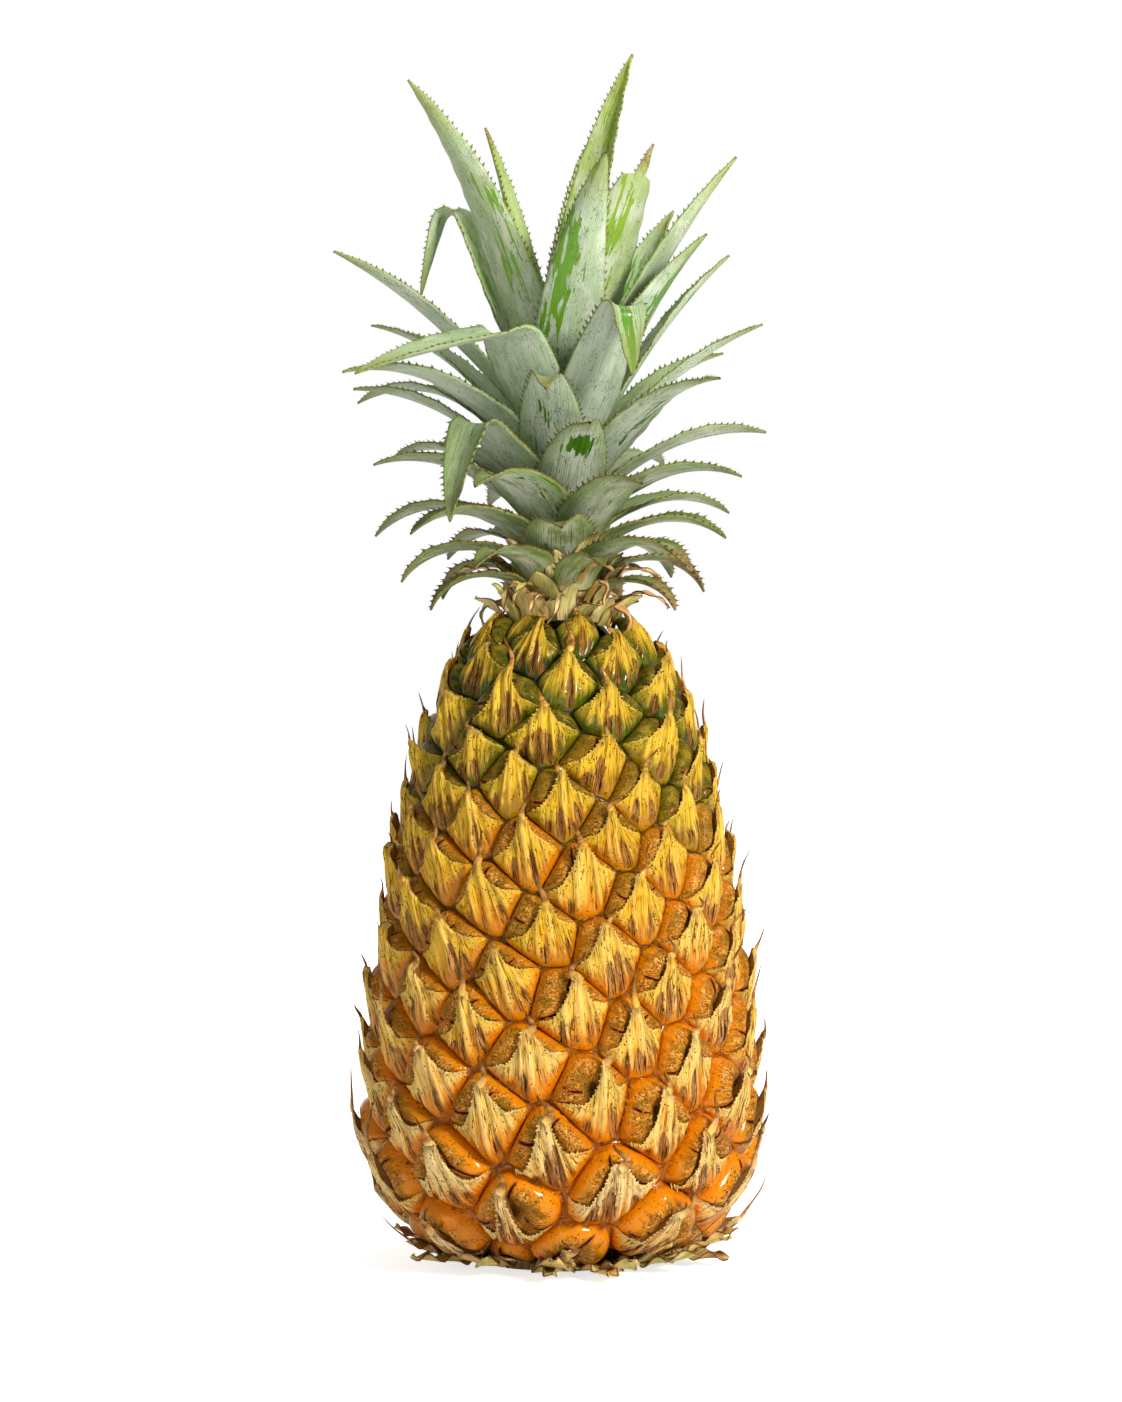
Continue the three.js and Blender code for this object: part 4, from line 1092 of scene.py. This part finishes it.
    relief = streaks * 0.5 + fine * 0.4
    dome_relief = ray * 0.35 + ray_fine * dry_middle * 0.8
    relief = p.between(dome, relief, dome_relief)
    relief = relief + (slit * dome * -1.6)
    relief = relief + ((dry + dots * 0.4) * -0.35)
    relief = relief + p.noise(place, 700, 3, 0.6) * 0.5
    normal = p.bump(relief, 0.9, 0.0009)
    wet = (1 - dome) * (p.band(up_bract, 0.75, 0.25) * (1 - dry))
    wet = dome * (1 - dry_middle) + wet
    roughness = p.band(wet, 0.0, 1.0, 0.52, 0.26) + drift * 0.2
    wet = p.most(wet, p.band(rise, 0.6, 0.9, 0.0, 0.8) * dome)
    coat = p.band(wet, 0.3, 1.0, 0.03, 0.5)
    base = p.mix(0.12, p.deepen(base, 1.8), "000000")
    return p.finish(
        base, roughness, normal, coat_weight=coat, coat_roughness=0.1, coat_tint="FFF0D0",
        specular_ior_level=0.3, specular_tint="F4C070",
    )


def leaf_material():
    p = Paint("pineapple_leaf")
    t, s, face = p.attribute("blade")
    across, length_mm, spine = p.attribute("blade_mm")
    share, rubbed, seed = p.attribute("blade_look")
    place = p.place()
    seed_far = seed * 53.0
    b = p.size(t)

    def grain(across_scale, along_scale, detail, roughness, distortion=0.0, shift=None):
        """Grain that runs along a leaf. Its two scales are the waves in a millimetre."""
        far = seed_far + shift if shift else seed_far
        spot = p.vector(across * across_scale, length_mm * along_scale, far)
        return p.noise(spot, 1.0, detail, roughness, distortion)

    veins = grain(2.3, 0.045, 4, 0.7)
    hair = grain(6.5, 0.12, 2, 0.5)
    mottle = grain(0.25, 0.1, 4, 0.6)
    line = p.math("SINE", across * 8.5 + mottle * 6.0)
    line = p.band(line, 0.1, 0.95) * p.band(veins, 0.35, 0.6)

    green = p.ramp(share, [
        (0, "4A5A18"), (0.3, "30600E"), (0.6, "3A7A0A"), (0.85, "5C980C"), (1, "8CAE14"),
    ])
    green = p.mix(p.band(veins, 0.4, 0.65) * 0.4, green, "88AA1E")
    bloom = p.ramp(share, [
        (0, "B8C486"), (0.2, "D2DAB2"), (0.45, "D2DCCC"),
        (0.7, "C2D2BE"), (0.88, "B2C6A6"), (0.96, "B0C292"), (1, "B2C47C"),
    ])
    bloom_dark = p.ramp(share, [
        (0, "4A5424"), (0.4, "5C6E42"), (0.75, "708A5E"), (0.93, "849C62"), (1, "93AA50"),
    ])
    bloom = p.mix(p.band(veins, 0.48, 0.68) * p.band(share, 0.3, 0.75, 0.85, 0.4), bloom, bloom_dark)
    bloom = p.mix(line * p.band(share, 0.1, 0.7, 0.8, 0.25), bloom, bloom_dark)
    pale_line = p.band(hair, 0.48, 0.3) * p.band(share, 0.7, 0.2)
    bloom = p.mix(pale_line * 0.5, bloom, "CCD2AC")
    bloom = p.mix(p.band(hair, 0.5, 0.75) * p.band(share, 0.3, 0.8, 0.35, 0.15), bloom, bloom_dark)
    bloom = p.mix(p.band(mottle, 0.44, 0.66) * 0.7, bloom, "D2D8CC")
    olive = p.band(mottle, 0.54, 0.36) * p.band(share, 0.75, 0.1)
    bloom = p.mix(olive * 0.6, bloom, "64802C")
    upper = p.band(face, -0.2, 0.2)
    inner = p.mix(p.band(hair, 0.4, 0.62), green, "A2B266")
    inner = p.mix(p.band(veins, 0.5, 0.64) * 0.7, inner, "2E440E")
    bloom = p.mix(upper * p.band(share, 0.5, 0.97, 0.62, 0.3), bloom, inner)

    # Rubbed patches: ragged, and drawn out along the leaf.
    patch = grain(0.62, 0.075, 3, 0.55, distortion=0.4)
    nick = grain(1.1, 0.16, 2, 0.5, shift=7.0)
    limit = 0.74 - rubbed * 0.42
    edge_of_patch = patch + (nick - 0.5) * 0.14
    bare = p.band(edge_of_patch - limit, -0.004, 0.006)
    scratch = grain(2.0, 0.35, 2, 0.5)
    bare = p.most(bare, p.band(scratch, 0.7, 0.72))
    base = p.mix(bare, bloom, green)

    # Fine cracks in the wax.
    contour = grain(0.9, 0.3, 2, 0.6, shift=3.0)
    crack = p.band(p.size(contour - 0.5), 0.016, 0.006)
    cracked = grain(0.3, 0.12, 2, 0.5, shift=9.0)
    crack = crack * p.band(cracked, 0.45, 0.53)
    base = p.mix(crack * 0.85, base, "44562C")

    # The edges, the root and the tip.
    flank = p.band(b + (mottle - 0.5) * 0.6, 0.35, 0.95) * p.band(share, 0.9, 0.3)
    base = p.mix(flank * p.band(veins, 0.35, 0.65, 0.85, 0.5), base, "67862A")
    edge_green = p.ramp(share, [(0, "8A5A22"), (0.3, "8E742C"), (0.6, "828C3A"), (1, "98A84C")])
    edge = p.band(b + (mottle - 0.5) * 0.1, 0.95, 0.995)
    base = p.mix(edge * 0.75, base, edge_green)
    root = p.band(s, 0.2, 0.02)
    base = p.mix(root * 0.6, base, "B2B478")
    tip = p.band(s + (mottle - 0.5) * 0.3, 0.74, 0.98)
    tip_colour = p.ramp(share, [(0, "6E5A26"), (0.5, "6E7838"), (1, "9CAA48")])
    base = p.mix(tip * 0.7, base, tip_colour)
    brown_tip = p.band(s, 0.975, 1.0, 0.0, 0.8)
    base = p.mix(brown_tip, base, "7A4E22")
    specks = p.band(p.cells(place, 420), 0.17, 0.08) * p.band(p.noise(place, 120, 2, 0.5), 0.48, 0.6)
    base = p.mix(specks * 0.7, base, "34381C")
    crisp = p.noise(place, 900, 3, 0.6)
    dry_blade = p.ramp(crisp, [(0.34, "4A3418"), (0.5, "8C6A38"), (0.66, "B89A62")])
    dry_share = p.band(spine, 0.0, -1.0) * p.band(veins + mottle, 0.75, 1.0, 1.0, 0.55)
    base = p.mix(dry_share, base, dry_blade)
    spine_colour = p.mix(p.band(spine, 0.45, 0.95), p.mix(share, "5E5A22", "7C8C34"), "5A3A1A")
    base = p.mix(p.band(spine, 0.1, 0.3), base, spine_colour)

    relief = veins * 0.7 + hair * 0.3
    relief = relief + (bare * -0.25 + (line * -0.3))
    normal = p.bump(relief, 0.6, 0.0005)
    roughness = p.between(bare, p.band(veins, 0.3, 0.7, 0.46, 0.6), 0.28)
    return p.finish(p.deepen(base, 1.12), roughness, normal, coat_weight=bare * 0.3, coat_roughness=0.15)


def dry_material():
    p = Paint("dry_bract")
    t, s, _ = p.attribute("blade")
    across, length_mm, _ = p.attribute("blade_mm")
    share, _, seed = p.attribute("blade_look")
    seed_far = seed * 53.0
    veins = p.noise(p.vector(across * 2.6, length_mm * 0.09, seed_far), 1.0, 4, 0.7)
    mottle = p.noise(p.place(), 130, 4, 0.6)
    base = p.ramp(seed * 0.75 + mottle * 0.35, [
        (0.12, "8A5A26"), (0.26, "C08E3E"), (0.4, "E0C474"),
        (0.5, "B4AE40"), (0.6, "E8D292"), (0.7, "C26A2E"), (0.85, "E8BC60"),
    ])
    base = p.mix(p.band(veins, 0.42, 0.62) * 0.6, base, "E0CC96")
    base = p.mix(p.band(veins, 0.62, 0.7) * 0.7, base, "4A3018")
    root = p.band(s, 0.55, 0.05)
    base = p.mix(root * 0.5, base, "C4A02C")
    green = p.mix(p.band(veins, 0.4, 0.6), "A09E38", "E2DA9C")
    base = p.mix(share * p.band(s, 1.0, 0.6), base, green)
    base = p.mix(p.band(p.size(t), 0.84, 1.0), base, "6A4422")
    normal = p.bump(veins + mottle * 0.4, 0.8, 0.0006)
    roughness = p.band(mottle, 0.3, 0.7, 0.45, 0.7)
    return p.finish(p.deepen(base, 0.95), roughness, normal, specular_ior_level=0.3)


def stem_material():
    p = Paint("crown_stem_fibre")
    place = p.place()
    x, y, z = p.split(place)
    fibre = p.noise(p.vector(x * 900.0, y * 900.0, z * 60.0), 1.0, 4, 0.65)
    ring = p.noise(p.vector(x * 60.0, y * 60.0, z * 700.0), 1.0, 2, 0.5)
    base = p.ramp(fibre, [(0.3, "6A4A22"), (0.5, "A8874A"), (0.7, "D2C08A")])
    base = p.mix(p.band(ring, 0.55, 0.7), base, "7A7A34")
    normal = p.bump(fibre + ring, 0.8, 0.0008)
    return p.finish(base, 0.62, normal)


# The pieces.
RIND_PARTS = [("rind_lower", 0, 56), ("rind_middle", 56, 112), ("rind_upper", 112, EYE_COUNT)]


def make_fruit(material):
    corners = corners_of_eyes()
    shapes = [EyeShape(Eye(k, corners)) for k in range(EYE_COUNT)]
    for name, start, end in RIND_PARTS:
        surface = Surface()
        for shape in shapes[start:end]:
            shape.add_to(surface)
        surface.piece(name, material, ["fruit"])
    points = Surface()
    for shape in shapes:
        add_awn(points, shape)
        add_teeth(points, shape)
    points.piece("bract_points", material)


def make_leaves(material):
    for index in range(LEAF_COUNT):
        name = "leaf_%02d" % (index + 1)
        leaf = leaf_of(index)
        leaf["opening"] = fit_opening(leaf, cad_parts[name])
        leaf["seed"] = chance(index, 81)
        leaf["rubbed"] = RUBBED.get(index, (0.5, 0.4, 0.0, 0.1))
        line = Line(leaf)
        surface = Surface()
        add_blade(surface, leaf, line)
        add_spines(surface, leaf, line)
        surface.piece("fine_" + name, material, [name])


def dry_leaf(number, turn, radius, height, length, half_width, lean, bend, swing, green):
    """A dry bract or a scrap of leaf. Its root stands on a ring; lean and bend are in degrees.

    Its number only picks its repeatable chances. Green runs from dry, 0, to fresh, 1."""
    return {
        **PLAIN_BLADE,
        "index": number, "share": green, "seed": chance(number, 82), "thickness": BRACT_THICKNESS,
        "turn": turn, "root_radius": radius, "root_height": height,
        "length": length, "half_width": half_width,
        "lean": math.radians(lean), "bend": math.radians(bend),
        "swing": swing * (chance(number, 14) - 0.5), "roll": 0.6 * (chance(number, 19) - 0.5),
    }


def pick(number, j, low, high):
    return mix(low, high, chance(number, j))


def base_bracts():
    """Ragged dry bracts that spread under the fruit, and a second ring that hugs its lowest eyes."""
    for i in range(BASE_BRACTS):
        n = 300 + i
        turn = (i + pick(n, 10, 0, 0.6)) / BASE_BRACTS * 2 * math.pi
        yield dry_leaf(
            n, turn, STALK_RADIUS - 2, 3.0, pick(n, 11, 24, 36), pick(n, 12, 5, 9), 93, -pick(n, 13, 6, 44),
            0.5, pick(n, 23, 0, 0.5),
        )
    for i in range(LOW_BRACTS):
        n = 330 + i
        turn = (i + pick(n, 10, 0, 0.7)) / LOW_BRACTS * 2 * math.pi
        yield dry_leaf(
            n, turn, 28, 2.6, pick(n, 11, 18, 29), pick(n, 12, 3.5, 7), pick(n, 16, 86, 92),
            -pick(n, 13, 20, 64), 0.9, pick(n, 23, 0, 0.4),
        )


def neck_bracts():
    """Papery bracts round the neck, sheaths that hug the stem above them, and thin dry curls."""
    for i in range(NECK_BRACTS):
        n = 400 + i
        height = SHOULDER_HEIGHT - pick(n, 20, 0.5, 4)
        yield dry_leaf(
            n, i * GOLDEN_ANGLE, NECK_RADIUS + pick(n, 21, 0.2, 3.4), height, pick(n, 15, 9, 16),
            pick(n, 22, 3.2, 5.6), pick(n, 16, 8, 44), pick(n, 17, 10, 60), 0.6, pick(n, 23, 0.2, 0.8),
        )
    for i in range(SHEATHS):
        n = 430 + i
        height = pick(n, 20, SHOULDER_HEIGHT + 1, SHOULDER_HEIGHT + 12)
        radius = stem_radius(height) + pick(n, 21, 0.3, 1.2)
        yield dry_leaf(
            n, i * GOLDEN_ANGLE + 1, radius, height, pick(n, 15, 11, 17), pick(n, 22, 4, 6.5),
            pick(n, 16, 8, 30), pick(n, 17, 10, 50), 0.3, pick(n, 23, 0.4, 1.0),
        )
    for i in range(CURLS):
        n = 460 + i
        height = pick(n, 20, SHOULDER_HEIGHT + 1, SHOULDER_HEIGHT + 11)
        yield dry_leaf(
            n, i * GOLDEN_ANGLE + 2, stem_radius(height) + 1, height, pick(n, 15, 15, 26),
            pick(n, 22, 1.0, 2.2), pick(n, 16, 30, 64), pick(n, 17, 80, 210), 1.0, 0.0,
        )


def make_dry_bracts(material):
    for name, bracts, wave in (("base_bracts", base_bracts(), 1.5), ("neck_bracts", neck_bracts(), 0.7)):
        surface = Surface()
        for bract in bracts:
            add_blade(surface, bract, Line(bract), wave)
        surface.piece(name, material)


def make_stalk(material):
    """The flat cut that the fruit stands on, and the stalk's short side."""
    surface = Surface()
    side = [(STALK_RADIUS - 0.6, 0.2), (STALK_RADIUS, 1), (STALK_RADIUS, 4), (22, 7)]
    rings = [(0.01, 0), (8, 0), (16, 0), (22, 0)] + side
    turn = np.linspace(0, 2 * math.pi, 96, endpoint=False)
    rough = 1 + 0.012 * np.sin(7 * turn) + 0.01 * np.sin(17 * turn + 1)
    unit = np.stack([rough * np.cos(turn), rough * np.sin(turn)])
    points = [np.vstack([r * unit, np.full_like(turn, z)]).T for r, z in rings]
    surface.grid(np.array(points), closed=True)
    surface.piece("cut_stalk", material, ["fruit"])


# The studio.

def aim(thing, target):
    thing.rotation_euler = (Vector(target) - thing.location).to_track_quat("-Z", "Y").to_euler()


def make_camera():
    data = bpy.data.cameras.new("camera")
    data.sensor_width = LONG_SIDE
    data.lens = LONG_SIDE * CAMERA_DISTANCE / VIEW_HEIGHT
    camera = bpy.data.objects.new("camera", data)
    camera.location = (0, -CAMERA_DISTANCE, CAMERA_HEIGHT)
    bpy.context.scene.collection.objects.link(camera)
    aim(camera, (0, 0, AIM_HEIGHT))
    bpy.context.scene.camera = camera


def make_light(name, place, size, power):
    data = bpy.data.lights.new(name, "AREA")
    data.size = size
    data.energy = power
    data.color = LIGHT_COLOUR
    light = bpy.data.objects.new(name, data)
    light.location = place
    bpy.context.scene.collection.objects.link(light)
    aim(light, (0, 0, LIGHTS_AIM_HEIGHT))


def make_world():
    """White to the camera, and a softer white for the light that it gives."""
    world = bpy.data.worlds.new("studio")
    bpy.context.scene.world = world
    world.use_nodes = True
    tree = world.node_tree
    background = tree.nodes["Background"]
    path = tree.nodes.new("ShaderNodeLightPath")
    strength = tree.nodes.new("ShaderNodeMapRange")
    strength.inputs["To Min"].default_value = 0.2
    strength.inputs["To Max"].default_value = 1.0
    tree.links.new(path.outputs["Is Camera Ray"], strength.inputs["Value"])
    tree.links.new(strength.outputs[0], background.inputs["Strength"])
    background.inputs["Color"].default_value = (1, 1, 1, 1)


def make_floor():
    p = Paint("floor")
    grain = p.noise(p.place(), 40, 2, 0.5)
    base = p.mix(grain, (0.93, 0.93, 0.93, 1), (0.95, 0.95, 0.95, 1))
    # To the camera it has light of its own, which keeps the far floor as white as the near one.
    x, y, _ = p.split(p.place())
    away = p.math("SQRT", x * x + y * y)
    seen = p.out("ShaderNodeLightPath", {}, "Is Camera Ray")
    glow = seen * p.band(away, 0.2, 1.5, 0.68, 0.95) + 0.03
    material = p.finish(
        base, 0.9, p.bump(grain, 0.02, 0.0002), emission_color="FFFFFF", emission_strength=glow,
    )
    bpy.ops.mesh.primitive_circle_add(vertices=64, radius=6, fill_type="NGON")
    floor = bpy.context.object
    floor.name = "floor"
    floor.data.materials.append(material)


make_camera()
for light in LIGHTS:
    make_light(*light)
make_world()
make_floor()
bpy.context.scene.view_settings.view_transform = "Standard"

make_fruit(rind_material())
make_leaves(leaf_material())
make_dry_bracts(dry_material())
make_stalk(stem_material())
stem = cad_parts["crown_stem"]
stem.data.materials.clear()
stem.data.materials.append(stem_material())
